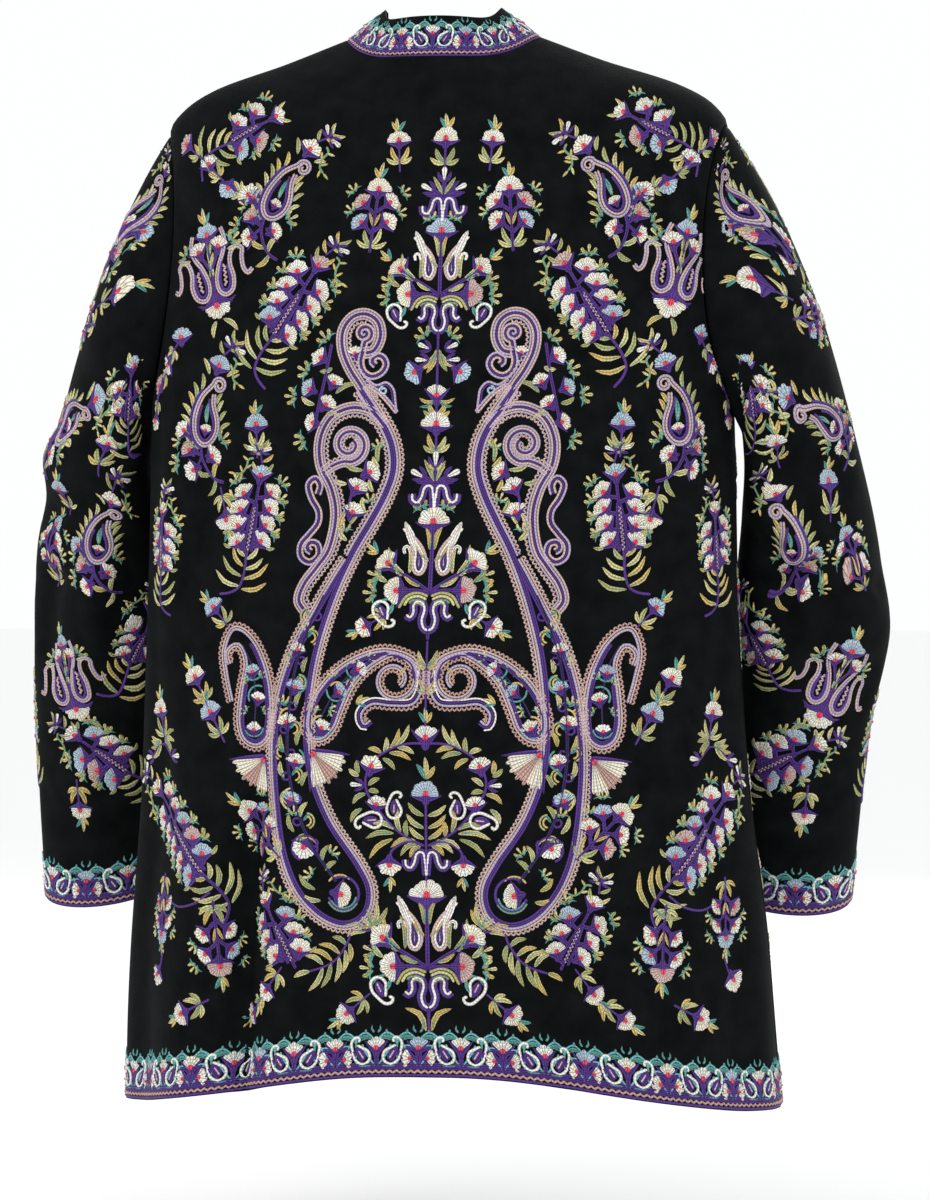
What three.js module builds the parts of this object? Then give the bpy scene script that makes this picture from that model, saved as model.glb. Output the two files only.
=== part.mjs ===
// A hip-length jacket of black wool, standing open at neck, cuffs and hem as if filled out by a wearer.
// Six cut pieces: a back, two fronts, two sleeves and a stand collar, each a wall of cloth.
// Millimetres, +Z up. The wearer faces -Y, so the back is at +Y and the wearer's left sleeve is at +X.
// The origin is midway between the two points where the shoulder seams meet the neck.
import * as THREE from "three";

// ---- Driving sizes ----
const CLOTH = 2; // wool with its lining
const COLLAR_CLOTH = 3; // two layers of wool and an interlining
const SEAM = 0.4; // between two cut pieces
const OPENING = 3; // between the two front edges
const HALF_TURN = Math.PI;

// A table's rows as objects, from its column names and one list of values a row.
function table(columns, ...rows) {
  return rows.map((row) => Object.fromEntries(columns.map((name, i) => [name, row[i]])));
}

// The body is a stack of rings from the hem to the neck seam. "at" runs from 0 at the hem to 1 at the neck.
// side, back and front are the ring's heights there; square is 2 for an ellipse and more for a boxier ring;
// ridge is how sharply the height turns from the side's to the back's and front's; sway is how far the ring's
// middle hangs to the wearer's left.
const RINGS = table(
  ["at", "side", "back", "front", "width", "backDepth", "frontDepth", "square", "ridge", "sway"],
  [0.0, -812, -778, -792, 252, 142, 134, 2.3, 3, 0],
  [0.135, -692, -672, -679, 246, 134, 129, 2.3, 3.4, 3],
  [0.27, -566, -558, -562, 234, 123, 122, 2.35, 4, 6],
  [0.42, -431, -430, -434, 227, 114, 118, 2.45, 4, 8],
  [0.585, -284, -290, -302, 223, 115, 123, 2.6, 5, 7],
  [0.71, -178, -195, -219, 220, 112, 116, 2.6, 6, 5],
  [0.83, -68, -98, -136, 214, 98, 98, 2.3, 6, 3],
  [0.855, -53, -82, -125, 204, 93, 94, 2.2, 6, 3],
  [0.89, -38, -64, -112, 180, 86, 88, 2.15, 6, 4],
  [0.945, -18, -40, -93, 122, 73, 79, 2.05, 6, 5],
  [1.0, 0, -20, -75, 75, 62, 70, 2.0, 6, 6],
);

// The armhole, as shares of the quarter ring that it takes from the back and from the front.
const ARMHOLE = { pit: 0.585, tip: 0.83, back: 0.23, front: 0.25 };

// The sleeve is a stack of loops. Each runs from an outer to an inner point, given for the wearer's left.
// ahead is how far the loop's centre lies towards the front, depth its half depth and tilt its lean, in
// degrees. leftOut and rightOut are how much further out each sleeve hangs there, and rightIn is how much
// further in the right sleeve's inner point is.
const LOOPS = table(
  ["at", "outerX", "outerZ", "innerX", "innerZ", "ahead", "depth", "tilt", "leftOut", "rightOut", "rightIn"],
  [0.0, 212, -68, 222, -283, 0, 58, 0, 0, 0, 0],
  [0.14, 246, -128, 230, -298, 1, 62, 0, 2, 0, 8],
  [0.3, 284, -218, 233, -322, 12, 62, 4, 4, 0, 9],
  [0.46, 309, -308, 226, -364, 36, 60, 9, 9, -2, 4],
  [0.62, 325, -398, 212, -430, 63, 57, 14, 16, 0, 0],
  [0.71, 328, -448, 208, -472, 76, 56, 17, 18, 4, 2],
  [0.84, 317, -538, 206, -544, 94, 50, 19, 31, -3, 0],
  [1.0, 304, -664, 204, -654, 114, 45, 19, 42, -4, 0],
);
const CAP_FADE = 0.2; // the share of the sleeve over which the armhole's own outline fades into the loops

// The stand collar: its height above the neck seam and how far it leans in at the back, sides and front.
const COLLAR = { rise: 32, leanBack: 5, leanSide: 30, leanFront: 16, cornerDrop: 10 };

// The largest folds of the body. share counts quarter rings from the centre back, plus to the wearer's left.
// A fold runs straight from one (share, at) to the other; lift is out of the cloth, and minus is a trough.
const BODY_FOLDS = [
  { fromShare: 0.46, fromAt: -0.05, toShare: 0.44, toAt: 0.3, width: 13, lift: -17 }, // deep back pleat
  { fromShare: 0.6, fromAt: -0.05, toShare: 0.56, toAt: 0.26, width: 26, lift: 9 },
  { fromShare: 0.3, fromAt: -0.05, toShare: 0.36, toAt: 0.24, width: 24, lift: 5 },
  { fromShare: -0.33, fromAt: -0.05, toShare: -0.36, toAt: 0.2, width: 16, lift: -8 },
  { fromShare: -0.52, fromAt: -0.05, toShare: -0.5, toAt: 0.24, width: 26, lift: 6 },
  { fromShare: 0.8, fromAt: -0.05, toShare: 0.78, toAt: 0.34, width: 24, lift: -8 },
  { fromShare: -0.78, fromAt: -0.05, toShare: -0.8, toAt: 0.38, width: 24, lift: -6 },
  { fromShare: 0.72, fromAt: 0.4, toShare: 0.68, toAt: 0.74, width: 18, lift: 7 }, // beside each armhole
  { fromShare: -0.72, fromAt: 0.42, toShare: -0.68, toAt: 0.76, width: 18, lift: 6 },
  { fromShare: 1.42, fromAt: -0.05, toShare: 1.5, toAt: 0.42, width: 22, lift: 9 }, // fronts
  { fromShare: 1.6, fromAt: -0.05, toShare: 1.64, toAt: 0.3, width: 18, lift: -9 },
  { fromShare: -1.4, fromAt: -0.05, toShare: -1.46, toAt: 0.36, width: 24, lift: 8 },
  { fromShare: -1.62, fromAt: -0.05, toShare: -1.6, toAt: 0.38, width: 18, lift: -8 },
];

// The largest folds of each sleeve. turn is in degrees round the sleeve: 0 is the outer line, 90 the back,
// 180 the inner line and 270 the front.
const LEFT_SLEEVE_FOLDS = [
  { fromTurn: 5, fromAt: 0.56, toTurn: 120, toAt: 0.46, width: 13, lift: -10 }, // crease over the elbow
  { fromTurn: -10, fromAt: 0.5, toTurn: 120, toAt: 0.38, width: 18, lift: 8 },
  { fromTurn: 104, fromAt: 0.5, toTurn: 82, toAt: 0.78, width: 15, lift: 9 }, // standing fold below it
  { fromTurn: 48, fromAt: 0.58, toTurn: 40, toAt: 0.76, width: 17, lift: -9 },
  { fromTurn: 220, fromAt: 0.6, toTurn: 320, toAt: 0.66, width: 15, lift: -9 },
  { fromTurn: 230, fromAt: 0.5, toTurn: 330, toAt: 0.58, width: 17, lift: 7 },
  { fromTurn: 140, fromAt: 0.82, toTurn: 60, toAt: 0.88, width: 20, lift: 4 },
];
const RIGHT_SLEEVE_FOLDS = [
  { fromTurn: 150, fromAt: 0.4, toTurn: 20, toAt: 0.68, width: 17, lift: 9 }, // armpit to elbow
  { fromTurn: 140, fromAt: 0.34, toTurn: 30, toAt: 0.5, width: 14, lift: -9 },
  { fromTurn: 120, fromAt: 0.5, toTurn: 100, toAt: 0.7, width: 15, lift: -8 },
  { fromTurn: 100, fromAt: 0.7, toTurn: 10, toAt: 0.78, width: 16, lift: -8 },
  { fromTurn: 225, fromAt: 0.58, toTurn: 330, toAt: 0.62, width: 15, lift: -9 },
  { fromTurn: 230, fromAt: 0.66, toTurn: 320, toAt: 0.74, width: 17, lift: 6 },
];

// ---- Grid counts ----
const ROWS = { skirt: 11, armhole: 10, shoulder: 5 };
const BACK_COLUMNS = 28;
const FRONT_COLUMNS = 14;
const SLEEVE_ROWS = 21;
const COLLAR_ROWS = 3;
const COLLAR_COLUMNS = 36;

// ---- Reading the tables ----
// A smooth curve through a table's rows that never overshoots them (piecewise cubic, harmonic-mean slopes).
function readTable(table, at) {
  const columns = Object.keys(table[0]);
  const last = table.length - 1;
  let i = 0;
  while (i < last - 1 && at > table[i + 1].at) i += 1;
  const span = table[i + 1].at - table[i].at;
  const f = Math.min(1, Math.max(0, (at - table[i].at) / span));
  const read = {};
  for (const c of columns) {
    const rise = (k) => (table[k + 1][c] - table[k][c]) / (table[k + 1].at - table[k].at);
    const slope = (k) => {
      if (k === 0) return rise(0);
      if (k === last) return rise(last - 1);
      const before = rise(k - 1);
      const after = rise(k);
      return before * after > 0 ? (2 * before * after) / (before + after) : 0;
    };
    const p = table[i][c];
    const q = table[i + 1][c];
    const f2 = f * f;
    const f3 = f2 * f;
    read[c] =
      (2 * f3 - 3 * f2 + 1) * p +
      (f3 - 2 * f2 + f) * span * slope(i) +
      (3 * f2 - 2 * f3) * q +
      (f3 - f2) * span * slope(i + 1);
  }
  return read;
}

const smooth = (x) => {
  const f = Math.min(1, Math.max(0, x));
  return f * f * (3 - 2 * f);
};

// The height of a set of folds at a point. Places are millimetres across and along the cloth.
function foldLift(folds, across, along) {
  let lift = 0;
  for (const fold of folds) {
    const dx = fold.to[0] - fold.from[0];
    const dy = fold.to[1] - fold.from[1];
    const long = dx * dx + dy * dy;
    const f = ((across - fold.from[0]) * dx + (along - fold.from[1]) * dy) / long;
    const off = ((across - fold.from[0]) * dy - (along - fold.from[1]) * dx) / Math.sqrt(long);
    const ends = smooth((f + 0.05) / 0.3) * smooth((1.05 - f) / 0.3);
    lift += fold.lift * ends * Math.exp(-((off / fold.width) ** 2));
  }
  return lift;
}

// ---- The body ----
// A quarter of a ring in polar form: angle 0 is the centre back or front, a quarter turn is the side.
function quarterRadius(angle, width, depth, square) {
  const c = Math.abs(Math.cos(angle)) / depth;
  const s = Math.abs(Math.sin(angle)) / width;
  return (c ** square + s ** square) ** (-1 / square);
}

const QUARTER_STEPS = 48;
// The length of a quarter ring's outline up to each of its steps.
function quarterLengths(width, depth, square) {
  const lengths = [0];
  const point = (i) => {
    const angle = (i / QUARTER_STEPS) * (HALF_TURN / 2);
    const r = quarterRadius(angle, width, depth, square);
    return [r * Math.sin(angle), r * Math.cos(angle)];
  };
  for (let i = 1; i <= QUARTER_STEPS; i += 1) {
    const [x0, y0] = point(i - 1);
    const [x1, y1] = point(i);
    lengths.push(lengths[i - 1] + Math.hypot(x1 - x0, y1 - y0));
  }
  return lengths;
}

// The polar angle that lies a given share of the way along a quarter ring's outline.
function angleAtShare(share, width, depth, square) {
  const lengths = quarterLengths(width, depth, square);
  const wanted = share * lengths[QUARTER_STEPS];
  let i = 0;
  while (i < QUARTER_STEPS - 1 && lengths[i + 1] < wanted) i += 1;
  const f = (wanted - lengths[i]) / (lengths[i + 1] - lengths[i]);
  return ((i + f) / QUARTER_STEPS) * (HALF_TURN / 2);
}

// A width of cloth at a height of the body, as a share of the quarter ring there.
function shareOf(mm, at) {
  const ring = readTable(RINGS, at);
  return mm / quarterLengths(ring.width, ring.backDepth, ring.square)[QUARTER_STEPS];
}

// A fold table in millimetres of cloth: a quarter ring is about 300 mm and the body's height about 880 mm.
const QUARTER_MM = 300;
const BODY_MM = 880;
const bodyFolds = BODY_FOLDS.map((f) => ({
  from: [f.fromShare * QUARTER_MM, f.fromAt * BODY_MM],
  to: [f.toShare * QUARTER_MM, f.toAt * BODY_MM],
  width: f.width,
  lift: f.lift,
}));

// A point of the unfolded body. share is 0 at the centre back, +-1 at the sides and +-2 at the centre front.
function formPoint(at, share) {
  const ring = readTable(RINGS, at);
  const hand = share < 0 ? -1 : 1;
  const quarters = Math.abs(share);
  const onBack = quarters <= 1;
  const depth = onBack ? ring.backDepth : ring.frontDepth;
  const angle = angleAtShare(onBack ? quarters : 2 - quarters, ring.width, depth, ring.square);
  const r = quarterRadius(angle, ring.width, depth, ring.square);
  const ridge = Math.abs(Math.sin(angle)) ** ring.ridge;
  const middle = onBack ? ring.back : ring.front;
  return new THREE.Vector3(
    ring.sway + hand * r * Math.sin(angle),
    (onBack ? 1 : -1) * r * Math.cos(angle),
    ring.side * ridge + middle * (1 - ridge),
  );
}

// The surface normal of a two-parameter surface, from small steps along both parameters.
function normalOf(surface, u, v, stepU, stepV) {
  const du = surface(u + stepU, v).sub(surface(u - stepU, v));
  const dv = surface(u, v + stepV).sub(surface(u, v - stepV));
  return du.cross(dv).normalize();
}

const STEP = 0.004;
function bodyPoint(at, share) {
  const inside = Math.min(1 - STEP, Math.max(STEP, at));
  const normal = normalOf((s, a) => formPoint(a, s), share, inside, STEP, STEP).negate();
  const lift = foldLift(bodyFolds, share * QUARTER_MM, at * BODY_MM);
  return formPoint(at, share).addScaledVector(normal, lift);
}

// ---- The sleeves ----
const SLEEVE_MM = 620;
const TURN_MM = 330;
function sleeveFolds(table) {
  return table.flatMap((f) =>
    [-1, 0, 1].map((wrap) => ({
      from: [(f.fromTurn / 360 + wrap) * TURN_MM, f.fromAt * SLEEVE_MM],
      to: [(f.toTurn / 360 + wrap) * TURN_MM, f.toAt * SLEEVE_MM],
      width: f.width,
      lift: f.lift,
    })),
  );
}
const foldsOf = { left: sleeveFolds(LEFT_SLEEVE_FOLDS), right: sleeveFolds(RIGHT_SLEEVE_FOLDS) };

// The armhole seam on the wearer's left. turn 0 is the shoulder, a quarter the back and a half the armpit.
function armholePoint(turn, hand) {
  const up = (1 + Math.cos(turn)) / 2;
  const at = ARMHOLE.pit + (ARMHOLE.tip - ARMHOLE.pit) * up;
  const wide = Math.sin(turn) > 0 ? -ARMHOLE.back : ARMHOLE.front;
  const share = 1 + wide * Math.abs(Math.sin(turn));
  const p = bodyPoint(at, hand * share);
  p.x *= hand;
  return p;
}

function loopPoint(at, turn, hand) {
  const loop = readTable(LOOPS, at);
  const out = hand > 0 ? loop.leftOut : loop.rightOut;
  const tilt = THREE.MathUtils.degToRad(loop.tilt);
  const across = Math.cos(turn) / 2;
  const innerX = loop.innerX - (hand > 0 ? 0 : loop.rightIn);
  const back = Math.sin(turn) * loop.depth;
  return new THREE.Vector3(
    out + (loop.outerX + innerX) / 2 + across * (loop.outerX - innerX),
    -loop.ahead + back * Math.cos(tilt),
    (loop.outerZ + loop.innerZ) / 2 + across * (loop.outerZ - loop.innerZ) - back * Math.sin(tilt),
  );
}

// The sleeve before its folds, for the wearer's left; its first loop lies on the armhole seam, a seam out.
function plainSleevePoint(at, turn, hand) {
  const p = loopPoint(at, turn, hand);
  const cap = 1 - smooth(at / CAP_FADE);
  if (cap > 0) {
    const seam = armholePoint(turn, hand);
    const start = loopPoint(0, turn, hand);
    p.addScaledVector(seam.sub(start), cap);
    const centre = new THREE.Vector3(start.x, 0, (LOOPS[0].outerZ + LOOPS[0].innerZ) / 2);
    const inward = centre.sub(start).normalize();
    p.addScaledVector(inward, SEAM * cap);
    p.x += SEAM * cap;
  }
  return p;
}

function sleevePoint(at, turn, hand) {
  const surface = (t, a) => plainSleevePoint(a, t, hand);
  const inside = Math.min(1 - STEP, Math.max(STEP, at));
  const normal = normalOf(surface, turn, inside, STEP * 10, STEP);
  const folds = foldsOf[hand > 0 ? "left" : "right"];
  const lift = foldLift(folds, (turn / (2 * HALF_TURN)) * TURN_MM, at * SLEEVE_MM);
  return plainSleevePoint(at, turn, hand).addScaledVector(normal, -lift);
}

// ---- The collar ----
// A band that stands on the neck seam. up is 0 at the seam and 1 at the top edge.
const NECK_SWAY = RINGS.at(-1).sway;
function collarPoint(up, share) {
  const foot = formPoint(1, share);
  const side = Math.sin((Math.abs(share) * HALF_TURN) / 2) ** 2;
  const lean = Math.abs(share) <= 1 ? COLLAR.leanBack : COLLAR.leanFront;
  const inward = lean * (1 - side) + COLLAR.leanSide * side;
  const length = Math.sqrt(COLLAR.rise ** 2 - inward ** 2 / 2);
  const corner = smooth((Math.abs(share) - 1.86) / 0.14) * COLLAR.cornerDrop;
  const flat = Math.hypot(foot.x - NECK_SWAY, foot.y);
  return new THREE.Vector3(
    NECK_SWAY + (foot.x - NECK_SWAY) * (1 - (inward * up) / flat),
    foot.y * (1 - (inward * up) / flat),
    foot.z + SEAM + 0.6 * CLOTH + up * (length - corner * up),
  );
}

// ---- Walls of cloth ----
// A closed wall from a grid of outer points: rows x columns of { outer, inner }. A tube joins its last column
// to its first. The grid runs so that rows x columns face out.
function wallGeometry(grid, tube) {
  const rows = grid.length;
  const columns = grid[0].length;
  const positions = [];
  for (const side of ["outer", "inner"]) {
    for (const row of grid) {
      for (const knot of row) positions.push(...knot[side].toArray());
    }
  }
  const index = [];
  const outer = (r, c) => r * columns + (c % columns);
  const inner = (r, c) => rows * columns + outer(r, c);
  // Each quad is halved along its shorter diagonal.
  const knot = (i) => new THREE.Vector3().fromArray(positions, 3 * i);
  const quad = (a, b, c, d) => {
    if (knot(a).distanceTo(knot(c)) <= knot(b).distanceTo(knot(d))) index.push(a, b, c, a, c, d);
    else index.push(a, b, d, b, c, d);
  };
  const wide = tube ? columns : columns - 1;
  for (let r = 0; r < rows - 1; r += 1) {
    for (let c = 0; c < wide; c += 1) {
      quad(outer(r, c), outer(r, c + 1), outer(r + 1, c + 1), outer(r + 1, c));
      quad(inner(r, c), inner(r + 1, c), inner(r + 1, c + 1), inner(r, c + 1));
    }
  }
  for (let c = 0; c < wide; c += 1) {
    quad(outer(0, c), inner(0, c), inner(0, c + 1), outer(0, c + 1));
    quad(outer(rows - 1, c), outer(rows - 1, c + 1), inner(rows - 1, c + 1), inner(rows - 1, c));
  }
  if (!tube) {
    const end = columns - 1;
    for (let r = 0; r < rows - 1; r += 1) {
      quad(outer(r, 0), outer(r + 1, 0), inner(r + 1, 0), inner(r, 0));
      quad(outer(r, end), inner(r, end), inner(r + 1, end), outer(r + 1, end));
    }
  }
  const geometry = new THREE.BufferGeometry();
  geometry.setAttribute("position", new THREE.Float32BufferAttribute(positions, 3));
  geometry.setIndex(index);
  geometry.computeVertexNormals();
  return geometry;
}

// The rows of a body panel: even over the skirt and the shoulder, and spaced as a circle round the armhole.
const PANEL_ROWS = [];
for (let k = 0; k < ROWS.skirt; k += 1) PANEL_ROWS.push({ at: (ARMHOLE.pit * k) / ROWS.skirt, hole: 0 });
for (let k = 0; k <= ROWS.armhole; k += 1) {
  const turn = (HALF_TURN * k) / ROWS.armhole;
  const up = (1 - Math.cos(turn)) / 2;
  PANEL_ROWS.push({ at: ARMHOLE.pit + (ARMHOLE.tip - ARMHOLE.pit) * up, hole: Math.sin(turn) });
}
for (let k = 1; k <= ROWS.shoulder; k += 1) {
  PANEL_ROWS.push({ at: ARMHOLE.tip + ((1 - ARMHOLE.tip) * k) / ROWS.shoulder, hole: 0 });
}

const inwardKnot = (point, normal, cloth) => ({
  outer: point,
  inner: point.clone().addScaledVector(normal, -cloth),
});

// A panel between two edges, given as shares for each row.
function bodyPanel(edgesOf, columns) {
  const grid = PANEL_ROWS.map((row) => {
    const [from, to] = edgesOf(row);
    return Array.from({ length: columns + 1 }, (_, c) => {
      const share = from + ((to - from) * c) / columns;
      const inside = Math.min(1 - 2 * STEP, Math.max(STEP, row.at));
      const surface = (s, a) => bodyPoint(a, s);
      const normal = normalOf(surface, share, inside, STEP, STEP).negate();
      return inwardKnot(bodyPoint(row.at, share), normal, CLOTH);
    });
  });
  return wallGeometry(grid.map((row) => row.reverse()), false);
}

function sleeve(hand) {
  const around = 2 * ROWS.armhole;
  const grid = Array.from({ length: SLEEVE_ROWS + 1 }, (_, r) => {
    const at = (r / SLEEVE_ROWS) ** 1.15;
    return Array.from({ length: around }, (_, c) => {
      const turn = (2 * HALF_TURN * c) / around;
      const inside = Math.min(1 - STEP, Math.max(STEP, at));
      const surface = (t, a) => sleevePoint(a, t, hand);
      const normal = normalOf(surface, turn, inside, STEP * 10, STEP).negate();
      if (r === 0) {
        const start = loopPoint(0, turn, hand);
        const centre = new THREE.Vector3(start.x, 0, (LOOPS[0].outerZ + LOOPS[0].innerZ) / 2);
        normal.copy(start.sub(centre).normalize());
      }
      const knot = inwardKnot(sleevePoint(at, turn, hand), normal, CLOTH);
      knot.outer.x *= hand;
      knot.inner.x *= hand;
      return knot;
    });
  });
  return wallGeometry(hand > 0 ? grid.map((row) => row.reverse()) : grid, true);
}

function collar() {
  const edge = 2 - shareOf(OPENING / 2, 1);
  const grid = Array.from({ length: COLLAR_ROWS + 1 }, (_, r) => {
    const up = r / COLLAR_ROWS;
    return Array.from({ length: COLLAR_COLUMNS + 1 }, (_, c) => {
      const share = edge - (2 * edge * c) / COLLAR_COLUMNS;
      const surface = (s, u) => collarPoint(u, s);
      const normal = normalOf(surface, share, Math.min(0.9, Math.max(0.1, up)), STEP, STEP).negate();
      return inwardKnot(collarPoint(up, share), normal, COLLAR_CLOTH);
    });
  });
  return wallGeometry(grid, false);
}

// ---- The pieces ----
const wool = () => new THREE.MeshStandardMaterial({ color: 0x0c0f10, roughness: 0.85, metalness: 0 });

function piece(name, geometry) {
  const mesh = new THREE.Mesh(geometry, wool());
  mesh.name = name;
  return mesh;
}

const backEdge = (row) => 1 - ARMHOLE.back * row.hole - shareOf(SEAM / 2, row.at);
const frontEdge = (row) => 1 + ARMHOLE.front * row.hole + shareOf(SEAM / 2, row.at);
const openingEdge = (row) => 2 - shareOf(OPENING / 2, row.at);

const jacket = new THREE.Group();
jacket.name = "jacket";
jacket.add(piece("back", bodyPanel((row) => [-backEdge(row), backEdge(row)], BACK_COLUMNS)));
jacket.add(piece("front_left", bodyPanel((row) => [frontEdge(row), openingEdge(row)], FRONT_COLUMNS)));
jacket.add(piece("front_right", bodyPanel((row) => [-openingEdge(row), -frontEdge(row)], FRONT_COLUMNS)));
jacket.add(piece("sleeve_left", sleeve(1)));
jacket.add(piece("sleeve_right", sleeve(-1)));
jacket.add(piece("collar", collar()));

export default jacket;
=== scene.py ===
import math

import bpy
import numpy as np
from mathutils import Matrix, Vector


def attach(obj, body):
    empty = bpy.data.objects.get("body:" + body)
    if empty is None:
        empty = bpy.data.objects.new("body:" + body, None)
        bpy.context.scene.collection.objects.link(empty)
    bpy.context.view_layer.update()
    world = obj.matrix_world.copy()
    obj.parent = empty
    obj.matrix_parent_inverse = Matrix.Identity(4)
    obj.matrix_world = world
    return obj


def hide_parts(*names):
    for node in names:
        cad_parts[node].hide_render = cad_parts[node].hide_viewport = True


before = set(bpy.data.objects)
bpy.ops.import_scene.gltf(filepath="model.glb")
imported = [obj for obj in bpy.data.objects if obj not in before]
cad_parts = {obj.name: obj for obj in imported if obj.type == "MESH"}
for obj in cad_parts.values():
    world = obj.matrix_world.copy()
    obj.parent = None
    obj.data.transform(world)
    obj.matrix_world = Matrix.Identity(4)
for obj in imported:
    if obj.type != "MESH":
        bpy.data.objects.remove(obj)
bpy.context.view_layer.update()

# ---- Camera ----
# Behind the jacket, a little to the wearer's right, level with its middle, with a long lens.
AIM = Vector((-0.010, -0.001, -0.429))
TURN, RISE, DISTANCE = math.radians(188), math.radians(0.5), 3.2
toward = Vector((math.sin(TURN) * math.cos(RISE), -math.cos(TURN) * math.cos(RISE), math.sin(RISE)))
camera = bpy.data.objects.new("camera", bpy.data.cameras.new("camera"))
camera.data.lens = 125.3
camera.data.sensor_width = 36
camera.location = AIM + DISTANCE * toward
camera.rotation_euler = (-toward).to_track_quat("-Z", "Y").to_euler()
bpy.context.scene.collection.objects.link(camera)
bpy.context.scene.camera = camera

# ---- Studio ----
# A pale plain floor a hand's breadth under the hem, a bright even room and three large soft lamps.
FLOOR_LEVEL = -0.93


def add_material(name):
    """A new material and its Principled shader's inputs."""
    material = bpy.data.materials.new(name)
    material.use_nodes = True
    return material, material.node_tree.nodes["Principled BSDF"].inputs


def set_inputs(inputs, **values):
    """Sets a shader's own numbers and colours. An underscore in a name stands for a space."""
    for name, value in values.items():
        inputs[name.replace("_", " ")].default_value = value


def add_object(name, points, faces):
    """A mesh object from lists of points in metres and of faces."""
    mesh = bpy.data.meshes.new(name)
    mesh.from_pydata(points, [], faces)
    obj = bpy.data.objects.new(name, mesh)
    bpy.context.scene.collection.objects.link(obj)
    return obj


def add_lamp(name, place, size, power, colour):
    """A square soft lamp that faces the jacket's middle."""
    lamp = bpy.data.objects.new(name, bpy.data.lights.new(name, "AREA"))
    lamp.data.size = size
    lamp.data.energy = power
    lamp.data.color = colour
    lamp.location = place
    lamp.rotation_euler = (Vector(place) - AIM).to_track_quat("Z", "Y").to_euler()
    bpy.context.scene.collection.objects.link(lamp)


FLOOR_HALF = 30
floor = add_object(
    "floor",
    [(x * FLOOR_HALF, y * FLOOR_HALF, FLOOR_LEVEL) for x, y in ((-1, -1), (1, -1), (1, 1), (-1, 1))],
    [(0, 1, 2, 3)],
)
floor_material, floor_inputs = add_material("pale_floor")
set_inputs(floor_inputs, Base_Color=(0.95, 0.95, 0.95, 1), Roughness=0.9, Specular_IOR_Level=0.1)
floor.data.materials.append(floor_material)

bpy.context.scene.view_settings.view_transform = "Standard"
world = bpy.data.worlds.new("room")
world.use_nodes = True
set_inputs(world.node_tree.nodes["Background"].inputs, Color=(0.99, 0.995, 1.0, 1), Strength=1.0)
bpy.context.scene.world = world
add_lamp("key", (1.3, 2.7, 1.0), 1.4, 26, (1.0, 0.98, 0.95))
add_lamp("fill", (-2.2, 2.0, 0.3), 1.6, 9, (0.95, 0.98, 1.0))
add_lamp("front", (-1.0, -2.8, 1.0), 1.6, 22, (1.0, 0.99, 0.97))

# ---- Back ----
# One panel from shoulder to shoulder of black wool flannel, with its lining 2 mm thick. It is cut flat,
# eased over the shoulder blades and pressed, and hangs in soft vertical folds from the waist down.
CLOTH = 2.0  # millimetres, like every size below
SEAM = 0.4
SEAM_DEEP, SEAM_WIDE = 1.3, 3.5
OPENING = 3.0
QUARTER_MM = 300.0
BODY_MM = 880.0
BODY_ROWS = 441
QUARTER_COLUMNS = 300


def table(columns, *rows):
    """A table's columns by name, from its column names and one list of values a row."""
    return {name: np.array([row[i] for row in rows], float) for i, name in enumerate(columns)}


# Rings of the body from the hem to the neck seam, in millimetres: the heights of a ring's side, back and
# front, its half width and depths, how boxy it is, how sharply its height turns, and its sway to the left.
RINGS = table(
    ["at", "side", "back", "front", "width", "back_depth", "front_depth", "square", "ridge", "sway"],
    [0.0, -812, -778, -792, 252, 142, 134, 2.3, 3, 0],
    [0.135, -692, -672, -679, 246, 134, 129, 2.3, 3.4, 3],
    [0.27, -566, -558, -562, 234, 123, 122, 2.35, 4, 6],
    [0.42, -431, -430, -434, 227, 114, 118, 2.45, 4, 8],
    [0.585, -284, -290, -302, 223, 115, 123, 2.6, 5, 7],
    [0.71, -178, -195, -219, 220, 112, 116, 2.6, 6, 5],
    [0.83, -68, -98, -136, 214, 98, 98, 2.3, 6, 3],
    [0.855, -53, -82, -125, 204, 93, 94, 2.2, 6, 3],
    [0.89, -38, -64, -112, 180, 86, 88, 2.15, 6, 4],
    [0.945, -18, -40, -93, 122, 73, 79, 2.05, 6, 5],
    [1.0, 0, -20, -75, 75, 62, 70, 2.0, 6, 6],
)
ARMHOLE = {"pit": 0.585, "tip": 0.83, "back": 0.23, "front": 0.25}

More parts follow.
